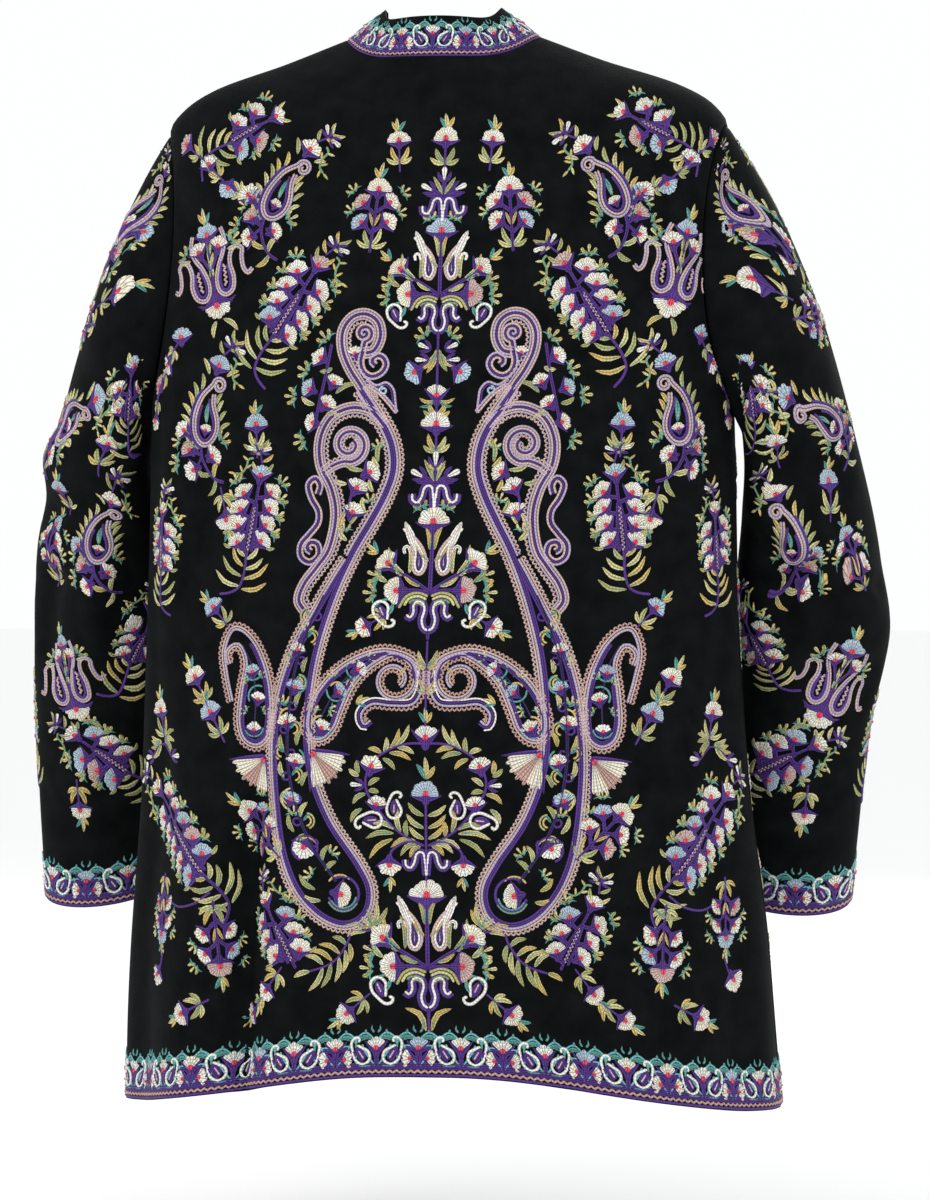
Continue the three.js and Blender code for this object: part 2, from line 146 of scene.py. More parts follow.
# Folds of the body. Places are millimetres of cloth: across from the centre back, plus to the wearer's left,
# and along from the hem up. Lift is out of the cloth, and minus is a trough.
FOLD_OVERRUN, FOLD_FADE = 0.05, 0.3
BODY_FOLDS = table(
    ["across", "along", "to_across", "to_along", "width", "lift"],
    [138, -44, 132, 264, 13, -17],
    [180, -44, 168, 229, 26, 9],
    [90, -44, 108, 211, 24, 5],
    [-99, -44, -108, 176, 16, -8],
    [-156, -44, -150, 211, 26, 6],
    [240, -44, 234, 299, 24, -8],
    [-234, -44, -240, 334, 24, -6],
    [216, 352, 204, 651, 18, 7],
    [-216, 370, -204, 669, 18, 6],
    [426, -44, 450, 370, 22, 9],
    [480, -44, 492, 264, 18, -9],
    [-420, -44, -438, 317, 24, 8],
    [-486, -44, -480, 334, 18, -8],
    [30, -44, 22, 150, 17, 2.5],
    [-30, -44, -16, 120, 15, -2],
    [-60, 60, -48, 330, 20, 1.8],
    [60, 260, 45, 520, 26, 1.6],
    [200, 150, 262, 420, 12, -2.5],
    [-205, 120, -262, 400, 12, -2.5],
    [160, 420, 232, 560, 11, -2.4],
    [-160, 440, -232, 570, 11, -2.4],
    [186, 560, 196, 690, 9, -2.2],
    [-186, 570, -196, 700, 9, -2.2],
    [120, 700, 210, 742, 12, -1.6],
    [-120, 700, -210, 742, 12, -1.6],
    [350, 120, 330, 420, 14, -3],
    [-350, 120, -335, 430, 14, -3],
    [390, 470, 470, 560, 13, -3],
    [-390, 470, -470, 560, 13, -3],
    [540, 60, 520, 360, 16, 2.5],
    [-545, 60, -525, 330, 16, 2.5],
)


def read_table(rows, at):
    """Every column of a table at the given places, on a smooth curve that never overshoots its rows."""
    knots = rows["at"]
    i = np.clip(np.searchsorted(knots, at) - 1, 0, len(knots) - 2)
    span = knots[i + 1] - knots[i]
    f = np.clip((at - knots[i]) / span, 0, 1)
    read = {}
    for name, values in rows.items():
        rise = np.diff(values) / np.diff(knots)
        before, after = rise[:-1], rise[1:]
        same = before * after > 0
        mean = np.where(same, 2 * before * after / np.where(same, before + after, 1), 0)
        slope = np.concatenate([rise[:1], mean, rise[-1:]])
        read[name] = (
            (2 * f**3 - 3 * f**2 + 1) * values[i]
            + (f**3 - 2 * f**2 + f) * span * slope[i]
            + (3 * f**2 - 2 * f**3) * values[i + 1]
            + (f**3 - f**2) * span * slope[i + 1]
        )
    return read


def smooth(x):
    """A soft step from 0 to 1."""
    f = np.clip(x, 0, 1)
    return f * f * (3 - 2 * f)


def fold_lift(folds, across, along):
    """The height of all folds at places given in millimetres of cloth. A fold fades out at both ends."""
    lift = np.zeros_like(across)
    for x, y, to_x, to_y, width, high in zip(*folds.values()):
        dx, dy = to_x - x, to_y - y
        long = dx * dx + dy * dy
        f = ((across - x) * dx + (along - y) * dy) / long
        off = ((across - x) * dy - (along - y) * dx) / math.sqrt(long)
        ends = smooth((f + FOLD_OVERRUN) / FOLD_FADE) * smooth((1 + FOLD_OVERRUN - f) / FOLD_FADE)
        lift += high * ends * np.exp(-((off / width) ** 2))
    return lift


def ripple(across, along):
    """The slight unevenness of cloth that has been worn and pressed."""
    a = np.sin(across / 41 + 1.3 * np.sin(along / 97)) * np.sin(along / 63 + across / 150)
    b = np.sin(across / 19 + along / 83 + 2) * np.sin(along / 37 - across / 61 + 1)
    return 0.8 * a + 0.35 * b


class Cloth:
    """A sampled surface: points and outward normals in millimetres on a grid of rows by columns."""

    def __init__(self, rows, columns, form, lift, out):
        self.rows, self.columns, self.out = rows, columns, out
        self.points = form + self.normals_of(form) * lift[..., None]
        self.normals = self.normals_of(self.points)

    def normals_of(self, points):
        across = np.gradient(points, axis=1)
        along = np.gradient(points, axis=0)
        if np.allclose(points[:, 0], points[:, -1]):
            across[:, 0] = across[:, -1] = points[:, 1] - points[:, -2]
        normals = self.out * np.cross(along, across)
        return normals / np.linalg.norm(normals, axis=-1, keepdims=True)

    def read(self, row, column):
        """Points and normals between the grid's knots."""
        r = (np.asarray(row, float) - self.rows[0]) / (self.rows[1] - self.rows[0])
        c = (np.asarray(column, float) - self.columns[0]) / (self.columns[1] - self.columns[0])
        r0 = np.clip(np.floor(r).astype(int), 0, len(self.rows) - 2)
        c0 = np.clip(np.floor(c).astype(int), 0, len(self.columns) - 2)
        fr, fc = (r - r0)[..., None], (c - c0)[..., None]
        both = []
        for grid in (self.points, self.normals):
            low = grid[r0, c0] * (1 - fc) + grid[r0, c0 + 1] * fc
            high = grid[r0 + 1, c0] * (1 - fc) + grid[r0 + 1, c0 + 1] * fc
            both.append(low * (1 - fr) + high * fr)
        return both


def body_form(at, share):
    """The unfolded body: share is 0 at the centre back, +-1 at the sides and +-2 at the centre front."""
    form = np.zeros((len(at), len(share), 3))
    rings = read_table(RINGS, at)
    quarter = np.linspace(0, math.pi / 2, 181)  # half-degree steps
    hand = np.where(share < 0, -1, 1)
    for back in (True, False):
        part = np.abs(share) <= 1 if back else np.abs(share) > 1
        quarters = np.abs(share[part]) if back else 2 - np.abs(share[part])
        for i in range(len(at)):
            width, square, ridge, sway = (rings[name][i] for name in ("width", "square", "ridge", "sway"))
            depth = rings["back_depth" if back else "front_depth"][i]
            middle = rings["back" if back else "front"][i]
            r = ((np.cos(quarter) / depth) ** square + (np.sin(quarter) / width) ** square) ** (-1 / square)
            outline = np.stack([r * np.sin(quarter), r * np.cos(quarter)], 1)
            long = np.concatenate([[0], np.cumsum(np.linalg.norm(np.diff(outline, axis=0), axis=1))])
            angle = np.interp(quarters * long[-1], long, quarter)
            x = np.interp(angle, quarter, outline[:, 0])
            y = np.interp(angle, quarter, outline[:, 1])
            turned = np.sin(angle) ** ridge
            form[i, part, 0] = sway + hand[part] * x
            form[i, part, 1] = y if back else -y
            form[i, part, 2] = rings["side"][i] * turned + middle * (1 - turned)
    return form


def seam_dip(distance):
    """How far cloth is drawn in at a distance in millimetres from a seam."""
    return -SEAM_DEEP * np.exp(-((distance / SEAM_WIDE) ** 2))


def armhole_reach(at, front):
    """How much of a quarter ring the armhole takes at each height."""
    up = np.clip((at - ARMHOLE["pit"]) / (ARMHOLE["tip"] - ARMHOLE["pit"]), 0, 1)
    return (ARMHOLE["front"] if front else ARMHOLE["back"]) * 2 * np.sqrt(up * (1 - up))


def make_body():
    """The body's surface all round, with its folds, its unevenness and the dips at its seams."""
    at = np.linspace(0, 1, BODY_ROWS)
    share = np.linspace(-2, 2, 4 * QUARTER_COLUMNS + 1)
    across, along = np.meshgrid(share * QUARTER_MM, at * BODY_MM)
    quarters = np.abs(across) / QUARTER_MM
    up = along / BODY_MM
    reach = np.where(quarters <= 1, armhole_reach(up, False), armhole_reach(up, True))
    lift = fold_lift(BODY_FOLDS, across, along) + ripple(across, along)
    lift += seam_dip((np.abs(quarters - 1) - reach) * QUARTER_MM)
    return Cloth(at, share, body_form(at, share), lift, 1)


body = make_body()
left_back = body.points[:, 2 * QUARTER_COLUMNS : 3 * QUARTER_COLUMNS + 1]
QUARTER_LENGTH = np.linalg.norm(np.diff(left_back, axis=1), axis=2).sum(1)


def share_of(mm, at):
    """A width of cloth as a share of the quarter ring at a height."""
    return mm / np.interp(at, body.rows, QUARTER_LENGTH)


def wall(name, outer, inner, tube):
    """A closed wall of cloth between two grids of points in millimetres, with UVs in metres of cloth."""
    rows, columns = outer.shape[:2]
    grid = np.arange(rows * columns).reshape(rows, columns)
    if tube:
        grid = np.concatenate([grid, grid[:, :1]], 1)
    far = grid + rows * columns
    sheets = [grid, far[:, ::-1], np.stack([grid[-1], far[-1]]), np.stack([far[0], grid[0]])]
    if not tube:
        sheets.append(np.stack([grid[:, 0], far[:, 0]]).T[:, ::-1])
        sheets.append(np.stack([far[:, -1], grid[:, -1]]).T[:, ::-1])
    quads = [np.stack([g[:-1, :-1], g[:-1, 1:], g[1:, 1:], g[1:, :-1]], -1).reshape(-1, 4) for g in sheets]
    faces = np.concatenate(quads)
    points = np.concatenate([outer.reshape(-1, 3), inner.reshape(-1, 3)]) / 1000
    obj = add_object(name, points.tolist(), faces.tolist())
    across, along = (
        np.append(0, np.linalg.norm(np.diff(line, axis=0), axis=1).cumsum())
        for line in (outer[rows // 2], outer[:, columns // 2])
    )
    uv = np.stack(np.meshgrid(across, along), -1).reshape(-1, 2) / 1000
    uv = np.concatenate([uv, uv])
    obj.data.uv_layers.new(name="cloth").data.foreach_set("uv", uv[faces].astype(np.float32).ravel())
    obj.data.shade_smooth()
    return obj


ROWS = {"skirt": 72, "armhole": 46, "shoulder": 24}
PANEL_COLUMNS = {"back": 104, "front": 54}
HOLE_TURN = np.linspace(0, math.pi, ROWS["armhole"] + 1)
HOLE_ROWS = ARMHOLE["pit"] + (ARMHOLE["tip"] - ARMHOLE["pit"]) * (1 - np.cos(HOLE_TURN)) / 2
PANEL_AT = np.concatenate(
    [
        np.linspace(0, ARMHOLE["pit"], ROWS["skirt"] + 1)[:-1],
        HOLE_ROWS,
        np.linspace(ARMHOLE["tip"], 1, ROWS["shoulder"] + 1)[1:],
    ]
)


def body_panel(name, start, end, columns):
    """A panel of the body between two edges, given as shares at each of PANEL_AT."""
    f = np.linspace(0, 1, columns + 1)
    share = start[:, None] * (1 - f) + end[:, None] * f
    at = np.repeat(PANEL_AT[:, None], columns + 1, 1)
    outer, normals = body.read(at, share)
    return wall(name, outer[:, ::-1], (outer - normals * CLOTH)[:, ::-1], False)


def add_node(tree, kind, **inputs):
    """A node of a shader. Each of its inputs is a number, or another node's output."""
    node = tree.nodes.new("ShaderNode" + kind)
    for name, value in inputs.items():
        if isinstance(value, bpy.types.NodeSocket):
            tree.links.new(value, node.inputs[name])
        else:
            node.inputs[name].default_value = value
    return node


def add_math(tree, kind, *values):
    """The output of a node that works on numbers and other nodes' outputs."""
    node = tree.nodes.new("ShaderNodeMath")
    node.operation = kind
    for socket, value in zip(node.inputs, values):
        if isinstance(value, bpy.types.NodeSocket):
            tree.links.new(value, socket)
        else:
            socket.default_value = value
    return node.outputs["Value"]


def add_group(name, lint_and_painted_shade):
    """A node group for the relief of cloth or thread: its depth in, its normal and a colour grade out."""
    group = bpy.data.node_groups.new(name, "ShaderNodeTree")
    group.interface.new_socket("Depth", in_out="INPUT", socket_type="NodeSocketFloat")
    group.interface.new_socket("Normal", in_out="OUTPUT", socket_type="NodeSocketVector")
    group.interface.new_socket(lint_and_painted_shade, in_out="OUTPUT", socket_type="NodeSocketFloat")
    return group


def end_group(group, height, lint_and_painted_shade):
    """Ends such a group with its height and colour grade: lint on wool, painted shade on thread."""
    entry, out = group.nodes.new("NodeGroupInput"), group.nodes.new("NodeGroupOutput")
    bump = add_node(group, "Bump", Strength=entry.outputs["Depth"], Distance=0.0006, Height=height)
    group.links.new(bump.outputs["Normal"], out.inputs["Normal"])
    group.links.new(lint_and_painted_shade, out.inputs[1])


def use_group(material, group, depth):
    """A material's shader tree, with the relief of a group, and the group's outputs."""
    tree = material.node_tree
    relief = add_node(tree, "Group")
    relief.node_tree = group
    relief.inputs["Depth"].default_value = depth
    tree.links.new(relief.outputs["Normal"], tree.nodes["Principled BSDF"].inputs["Normal"])
    return tree, relief.outputs


def add_shades(tree, fac, dark, light):
    """The shader's colour between a dark and a light one, each with its place on the ramp."""
    ramp = add_node(tree, "ValToRGB", Fac=fac)
    for stop, (place, colour) in zip(ramp.color_ramp.elements, (dark, light)):
        stop.position = place
        stop.color = (*colour, 1)
    tree.links.new(ramp.outputs["Color"], tree.nodes["Principled BSDF"].inputs["Base Color"])


# Wool flannel: near-black and slightly cool, with a fine twill, a short brushed nap and faint lint.
def make_weave():
    """The relief of the twill and nap, shared by the wool of all panels and the collar."""
    group = add_group("wool_relief", "Fleck")
    place = add_node(group, "TexCoord").outputs
    twill = add_node(group, "TexWave", Vector=place["UV"], Scale=190, Distortion=1.5, Detail=2)
    twill.bands_direction = "DIAGONAL"
    nap = add_node(group, "TexNoise", Vector=place["Object"], Scale=420, Detail=5, Roughness=0.7)
    lint = add_node(group, "TexNoise", Vector=place["Object"], Scale=60, Detail=6)
    height = add_math(group, "MULTIPLY_ADD", twill.outputs["Fac"], 0.35, nap.outputs["Fac"])
    end_group(group, height, lint.outputs["Fac"])
    return group


def make_wool():
    """The wool of all pieces, with its shades and its slight sheen."""
    material, inputs = add_material("black_wool")
    tree, relief = use_group(material, make_weave(), 0.5)
    add_shades(tree, relief["Fleck"], (0.3, (0.0018, 0.0022, 0.0024)), (0.75, (0.0052, 0.0060, 0.0064)))
    set_inputs(inputs, Roughness=0.82, Specular_IOR_Level=0.05)
    set_inputs(inputs, Sheen_Weight=0.012, Sheen_Roughness=0.35, Sheen_Tint=(0.75, 0.82, 0.9, 1))
    return material


wool = make_wool()


def finish_cloth(obj, node):
    """Gives a panel its wool, puts it under the root and hides the model's part for its node."""
    obj.data.materials.append(wool)
    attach(obj, "root")
    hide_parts(node)


back_edge = 1 - armhole_reach(PANEL_AT, False)
back = body_panel("back_panel", -back_edge, back_edge, PANEL_COLUMNS["back"])
finish_cloth(back, "back")

# ---- Fronts ----
# Two panels of the same wool that meet edge to edge at the centre front, with no overlap or fastening.
# Each is joined to the back at the shoulder and side and turned under along its front edge.
front_edge = 1 + armhole_reach(PANEL_AT, True)
opening_edge = 2 - share_of(OPENING / 2, PANEL_AT)
front_left = body_panel("front_left_panel", front_edge, opening_edge, PANEL_COLUMNS["front"])
front_right = body_panel("front_right_panel", -opening_edge, -front_edge, PANEL_COLUMNS["front"])
finish_cloth(front_left, "front_left")
finish_cloth(front_right, "front_right")

# ---- Sleeves ----
# One-piece set-in sleeves of the same wool, cut with a raised cap, eased into the armhole and seamed under
# the arm. They are creased at the elbow and hang slightly forward, with plain round openings.
SLEEVE_MM = 620.0
TURN_MM = 330.0
CAP_FADE = 0.2
FOLD_START = 0.06
SLEEVE_LOOPS, SLEEVE_TURNS = 311, 181
# Loops from the armhole to the cuff, in millimetres, for the wearer's left: each loop's outer and inner
# points, how far it lies ahead, its half depth and tilt in degrees, and how the two sleeves differ.
LOOPS = table(
    ["at", "outer_x", "outer_z", "inner_x", "inner_z", "ahead"]
    + ["depth", "tilt", "left_out", "right_out", "right_in"],
    [0.0, 212, -68, 222, -283, 0, 58, 0, 0, 0, 0],
    [0.14, 246, -128, 230, -298, 1, 62, 0, 2, 0, 8],
    [0.3, 284, -218, 233, -322, 12, 62, 4, 4, 0, 9],
    [0.46, 309, -308, 226, -364, 36, 60, 9, 9, -2, 4],
    [0.62, 325, -398, 212, -430, 63, 57, 14, 16, 0, 0],
    [0.71, 328, -448, 208, -472, 76, 56, 17, 18, 4, 2],
    [0.84, 317, -538, 206, -544, 94, 50, 19, 31, -3, 0],
    [1.0, 304, -664, 204, -654, 114, 45, 19, 42, -4, 0],
)
# Folds of each sleeve: degrees round it, from 0 on the outer line to 90 at the back, and shares of its
# length down from the armhole.
SLEEVE_FOLDS = {
    1: table(
        ["turn", "at", "to_turn", "to_at", "width", "lift"],
        [5, 0.56, 120, 0.46, 13, -10],
        [-10, 0.5, 120, 0.38, 18, 8],
        [104, 0.5, 82, 0.78, 15, 9],
        [48, 0.58, 40, 0.76, 17, -9],
        [220, 0.6, 320, 0.66, 15, -9],
        [230, 0.5, 330, 0.58, 17, 7],
        [140, 0.82, 60, 0.88, 20, 4],
        [30, 0.42, 130, 0.33, 10, -3.5],
        [20, 0.34, 110, 0.27, 12, -2.5],
        [10, 0.66, 70, 0.6, 8, -4],
        [60, 0.8, 130, 0.84, 9, -3],
        [20, 0.88, 100, 0.93, 10, -2],
        [240, 0.4, 330, 0.46, 10, -3],
        [250, 0.72, 330, 0.76, 10, -3.5],
    ),
    -1: table(
        ["turn", "at", "to_turn", "to_at", "width", "lift"],
        [150, 0.4, 20, 0.68, 17, 9],
        [140, 0.34, 30, 0.5, 14, -9],
        [120, 0.5, 100, 0.7, 15, -8],
        [100, 0.7, 10, 0.78, 16, -8],
        [225, 0.58, 330, 0.62, 15, -9],
        [230, 0.66, 320, 0.74, 17, 6],
        [130, 0.3, 40, 0.36, 11, -3.5],
        [150, 0.56, 60, 0.64, 10, -4],
        [60, 0.6, 10, 0.66, 8, -3.5],
        [130, 0.8, 60, 0.84, 10, -3],
        [110, 0.88, 30, 0.92, 11, -2],
        [240, 0.4, 320, 0.44, 10, -3],
        [240, 0.8, 320, 0.84, 10, -3],
    ),
}


def make_sleeve_cloth(hand):
    """The sleeve's surface for the wearer's left (1) or right (-1). Turn 0 is its outer line, 90 its back."""
    at = np.linspace(0, 1, SLEEVE_LOOPS)
    turn = np.linspace(-math.pi, math.pi, SLEEVE_TURNS)
    loops = {name: value[:, None] for name, value in read_table(LOOPS, at).items()}
    out = loops["left_out"] if hand > 0 else loops["right_out"]
    inner_x = loops["inner_x"] - (0 if hand > 0 else loops["right_in"])
    across = np.cos(turn) / 2
    back_of = np.sin(turn) * loops["depth"]
    tilt = np.radians(loops["tilt"])
    x = out + (loops["outer_x"] + inner_x) / 2 + across * (loops["outer_x"] - inner_x)
    y = -loops["ahead"] + back_of * np.cos(tilt)
    z = (loops["outer_z"] + loops["inner_z"]) / 2 + across * (loops["outer_z"] - loops["inner_z"])
    form = np.stack([x, y, z - back_of * np.sin(tilt)], -1)
    # The first loop lies on the armhole seam, and its outline fades into the loops below it.
    seam_at = ARMHOLE["pit"] + (ARMHOLE["tip"] - ARMHOLE["pit"]) * (1 + np.cos(turn)) / 2
    wide = np.where(np.sin(turn) > 0, -ARMHOLE["back"], ARMHOLE["front"]) * np.abs(np.sin(turn))
    seam = body.read(seam_at, hand * (1 + wide))[0] * [hand, 1, 1]
    middle = np.array([0, 0, (LOOPS["outer_z"][0] + LOOPS["inner_z"][0]) / 2])
    inward = (middle - form[0]) * [0, 1, 1]
    inward /= np.linalg.norm(inward, axis=1, keepdims=True)
    cap = (1 - smooth(at / CAP_FADE))[:, None, None]
    form = form + cap * (seam - form[0] + inward * SEAM + [SEAM, 0, 0])
    folds = SLEEVE_FOLDS[hand]
    round_mm, along_mm = np.meshgrid(turn / (2 * math.pi) * TURN_MM, at * SLEEVE_MM)
    lift = ripple(round_mm, along_mm + 31)
    for wrap in (-1, 0, 1):
        laid = {
            "x": (folds["turn"] / 360 + wrap) * TURN_MM,
            "y": folds["at"] * SLEEVE_MM,
            "to_x": (folds["to_turn"] / 360 + wrap) * TURN_MM,
            "to_y": folds["to_at"] * SLEEVE_MM,
            "width": folds["width"],
            "lift": folds["lift"],
        }
        lift += fold_lift(laid, round_mm, along_mm)
    lift *= smooth(at / FOLD_START)[:, None]
    lift[:, -1] = lift[:, 0]
    lift += seam_dip(at * SLEEVE_MM)[:, None]
    return Cloth(at, turn, form * [hand, 1, 1], lift, hand)


SLEEVE_ROWS, SLEEVE_COLUMNS = 116, 68
sleeve_cloth = {hand: make_sleeve_cloth(hand) for hand in (1, -1)}


def make_sleeve(name, hand):
    """A sleeve's tube of cloth on its surface."""
    f = np.linspace(0, 1, SLEEVE_ROWS + 1)
    turn = np.linspace(-math.pi, math.pi, SLEEVE_COLUMNS + 1)[:-1]
    outer, normals = sleeve_cloth[hand].read(*np.meshgrid(f, turn, indexing="ij"))
    inner = outer - normals * CLOTH
    if hand > 0:
        outer, inner = outer[:, ::-1], inner[:, ::-1]
    return wall(name, outer, inner, True)


sleeve_left = make_sleeve("sleeve_left_cloth", 1)
sleeve_right = make_sleeve("sleeve_right_cloth", -1)
finish_cloth(sleeve_left, "sleeve_left")
finish_cloth(sleeve_right, "sleeve_right")

# ---- Collar ----
# A low stand collar: a curved band of two layers of the same wool over an interlining, 3 mm thick, sewn to
# the neck seam and leaning in, with its front corners rounded off.
COLLAR_CLOTH = 3.0
COLLAR = {"rise": 32, "back": 5, "side": 30, "front": 16, "corner": 10, "rounded": 1.86, "sunk": 0.6}
COLLAR_ROWS, COLLAR_COLUMNS, BAND_COLUMNS = 21, 401, 161
collar_columns = np.linspace(-2, 2, COLLAR_COLUMNS)


def make_collar_cloth():
    """The collar's outer surface: it rises from the neck seam, leans in and rounds off at the front."""
    up = np.linspace(0, 1, COLLAR_ROWS)
    foot = body_form(np.array([1.0]), collar_columns)[0]
    quarters = np.abs(collar_columns)
    side = np.sin(quarters * math.pi / 2) ** 2
    lean = np.where(quarters <= 1, COLLAR["back"], COLLAR["front"]) * (1 - side) + COLLAR["side"] * side
    tall = np.sqrt(COLLAR["rise"] ** 2 - lean**2 / 2)
    corner = smooth((quarters - COLLAR["rounded"]) / (2 - COLLAR["rounded"])) * COLLAR["corner"]
    sway = RINGS["sway"][-1]
    wide = np.hypot(foot[:, 0] - sway, foot[:, 1])
    u = up[:, None]
    form = np.stack(
        [
            sway + (foot[:, 0] - sway) * (1 - lean * u / wide),
            foot[:, 1] * (1 - lean * u / wide),
            foot[:, 2] - COLLAR["sunk"] + u * (tall - corner * u),
        ],
        -1,
    )
    return Cloth(up, collar_columns, form, 0 * form[..., 0], 1)


collar_cloth = make_collar_cloth()


def make_collar():
    """The collar's band, clear of the front opening."""
    edge = 2 - share_of(OPENING / 2, 1)
    columns = np.linspace(edge, -edge, BAND_COLUMNS)
    outer, normals = collar_cloth.read(*np.meshgrid(collar_cloth.rows[::2], columns, indexing="ij"))
    return wall("collar_band", outer, outer - normals * COLLAR_CLOTH, False)


collar = make_collar()
finish_cloth(collar, "collar")

# ---- Embroidery on the back ----
# Woollen and silky threads worked over the whole panel in rows of chain stitch, before the jacket is sewn up:
# a tall centre bouquet between two great scrolls, with sprays, paisleys and sprigs out to the seams.


def sample(grid, row, column):
    """A grid's values between its knots."""
    r = np.minimum(row.astype(int), grid.shape[0] - 2)
    c = np.minimum(column.astype(int), grid.shape[1] - 2)
    fr, fc = (row - r)[:, None], (column - c)[:, None]
    low = grid[r, c] * (1 - fc) + grid[r, c + 1] * fc
    high = grid[r + 1, c] * (1 - fc) + grid[r + 1, c + 1] * fc
    return low * (1 - fr) + high * fr


# How flat points are found: grid knots from one first guess to the next, points looked up at once, steps of
# Newton's method, and how near in millimetres counts as found.
COARSE, BATCH, NEWTON_STEPS, NEAR = 16, 4000, 7, 0.5


class Ground:
    """A panel laid flat: x runs to the right as seen from outside and y up, both in millimetres."""

    def __init__(self, points, normals, across, along, inside):
        self.surface = np.concatenate([points, normals, inside[..., None]], -1)
        self.measures = np.stack([across, along], -1)
        self.by_row = np.gradient(self.measures, axis=0)
        self.by_column = np.gradient(self.measures, axis=1)
        self.rows = []

    def find(self, flat):
        """The surface at flat points, found by Newton's method, and whether each point lies on the grid."""
        last_row, last_column = np.array(self.measures.shape[:2]) - 1
        coarse = self.measures[::COARSE, ::COARSE]
        width = coarse.shape[1]
        coarse = coarse.reshape(-1, 2)
        target = np.stack([flat.real, flat.imag], -1)
        far = (coarse**2).sum(1)
        batches = np.array_split(target, len(target) // BATCH + 1)
        nearest = np.concatenate([(far - 2 * batch @ coarse.T).argmin(1) for batch in batches])
        row, column = nearest // width * float(COARSE), nearest % width * float(COARSE)
        for _ in range(NEWTON_STEPS):
            value, by_row, by_column = (
                sample(grid, row, column) for grid in (self.measures, self.by_row, self.by_column)
            )
            miss = target - value
            det = by_row[:, 0] * by_column[:, 1] - by_row[:, 1] * by_column[:, 0]
            row = row + (miss[:, 0] * by_column[:, 1] - miss[:, 1] * by_column[:, 0]) / det
            column = column + (by_row[:, 0] * miss[:, 1] - by_row[:, 1] * miss[:, 0]) / det
            row, column = np.clip(row, 0, last_row), np.clip(column, 0, last_column)
        near = np.linalg.norm(target - sample(self.measures, row, column), axis=1) < NEAR
        return sample(self.surface, row, column), near


def measures(points, axis, height, zero, right):
    """Distances round the garment from a column, and heights, for a grid of points with one axis a row."""
    step = np.diff(points, axis=1)
    level = step - (step * axis[:, None]).sum(-1, keepdims=True) * axis[:, None]
    long = np.cumsum(np.linalg.norm(level, axis=2), axis=1)
    long = np.concatenate([np.zeros((len(long), 1)), long], 1)
    return right * (long - long[:, zero : zero + 1]), height


at, quarters = np.meshgrid(body.rows, np.abs(body.columns), indexing="ij")
reach = np.where(quarters <= 1, armhole_reach(at, False), armhole_reach(at, True))
on_panel = np.minimum(np.abs(quarters - 1) - reach, 2 - quarters) * QUARTER_MM - SEAM


def body_ground(first, last, zero):
    """The ground between two quarter lines of the body, with x 0 on a third. Line 2 is the centre back."""
    first, last, zero = (line * QUARTER_COLUMNS for line in (first, last, zero))
    points, normals, inside = (grid[:, first : last + 1] for grid in (body.points, body.normals, on_panel))
    axis = np.tile([0.0, 0, 1], (len(points), 1))
    return Ground(points, normals, *measures(points, axis, points[..., 2], zero - first, -1), inside)


back_ground = body_ground(1, 3, 2)
SLEEVE_BACK_COLUMN = 3 * (SLEEVE_TURNS - 1) // 4  # at a turn of 90 degrees


def sleeve_ground(hand):
    """A sleeve's ground: x from the middle of its back, y up from the cuff along its slanting length."""
    points, normals = sleeve_cloth[hand].points, sleeve_cloth[hand].normals
    middle = points[:, :-1].mean(1)
    along = np.gradient(middle, axis=0)
    axis = -along / np.linalg.norm(along, axis=1, keepdims=True)
    run = np.concatenate([[0], np.cumsum(np.linalg.norm(np.diff(middle, axis=0), axis=1))])
    height = ((points - middle[:, None]) * axis[:, None]).sum(-1) + (run[-1] - run)[:, None]
    inside = np.tile((sleeve_cloth[hand].rows * SLEEVE_MM - SEAM)[:, None], (1, points.shape[1]))
    return Ground(points, normals, *measures(points, axis, height, SLEEVE_BACK_COLUMN, hand), inside)


# The colours of the threads, and the chain stitch that they are all worked in.
THREADS = {
    "ivory": (0.88, 0.87, 0.80),
    "cream": (0.86, 0.81, 0.66),
    "sky": (0.46, 0.58, 0.68),
    "blush": (0.62, 0.45, 0.41),
    "dusty": (0.56, 0.35, 0.30),
    "lilac": (0.48, 0.40, 0.53),
    "rose": (0.85, 0.06, 0.12),
    "violet": (0.085, 0.030, 0.24),
    "indigo": (0.028, 0.014, 0.10),
    "teal": (0.10, 0.32, 0.29),
    "aqua": (0.16, 0.46, 0.48),
    "sage": (0.19, 0.33, 0.18),
    "olive": (0.43, 0.43, 0.18),
    "straw": (0.66, 0.60, 0.28),
    "gold": (0.66, 0.49, 0.16),
}
LINK = 2.6  # millimetres of one link of chain stitch


def make_chain():
    """The relief of chain stitch: rows of rounded links of fuzzy thread, on UVs of links by rows."""
    group = add_group("chain_stitch", "PaintedShade")

    def calc(kind, *values):
        return add_math(group, kind, *values)

    place = add_node(group, "TexCoord").outputs
    parts = add_node(group, "SeparateXYZ", Vector=place["UV"]).outputs
    off = calc("ABSOLUTE", calc("MULTIPLY_ADD", calc("FRACT", parts["Y"]), 2.0, -1.0))
    cord = calc("SUBTRACT", 1.0, calc("POWER", off, 2.5))
    link = calc("FRACT", calc("ADD", parts["X"], calc("MULTIPLY", off, -0.4)))
    hump = calc("SINE", calc("MULTIPLY", link, math.pi))
    fuzz = add_node(group, "TexNoise", Vector=place["Object"], Scale=900, Detail=3)
    height = calc("MULTIPLY", cord, calc("ADD", calc("MULTIPLY", hump, 0.5), 0.5))
    height = calc("ADD", height, calc("MULTIPLY", fuzz.outputs["Fac"], 0.3))
    # Painted shade: the height goes out again to darken the thread's colour between links and at the cord's
    # edges.
    end_group(group, height, calc("MULTIPLY", height, 0.72))
    return group


chain = make_chain()


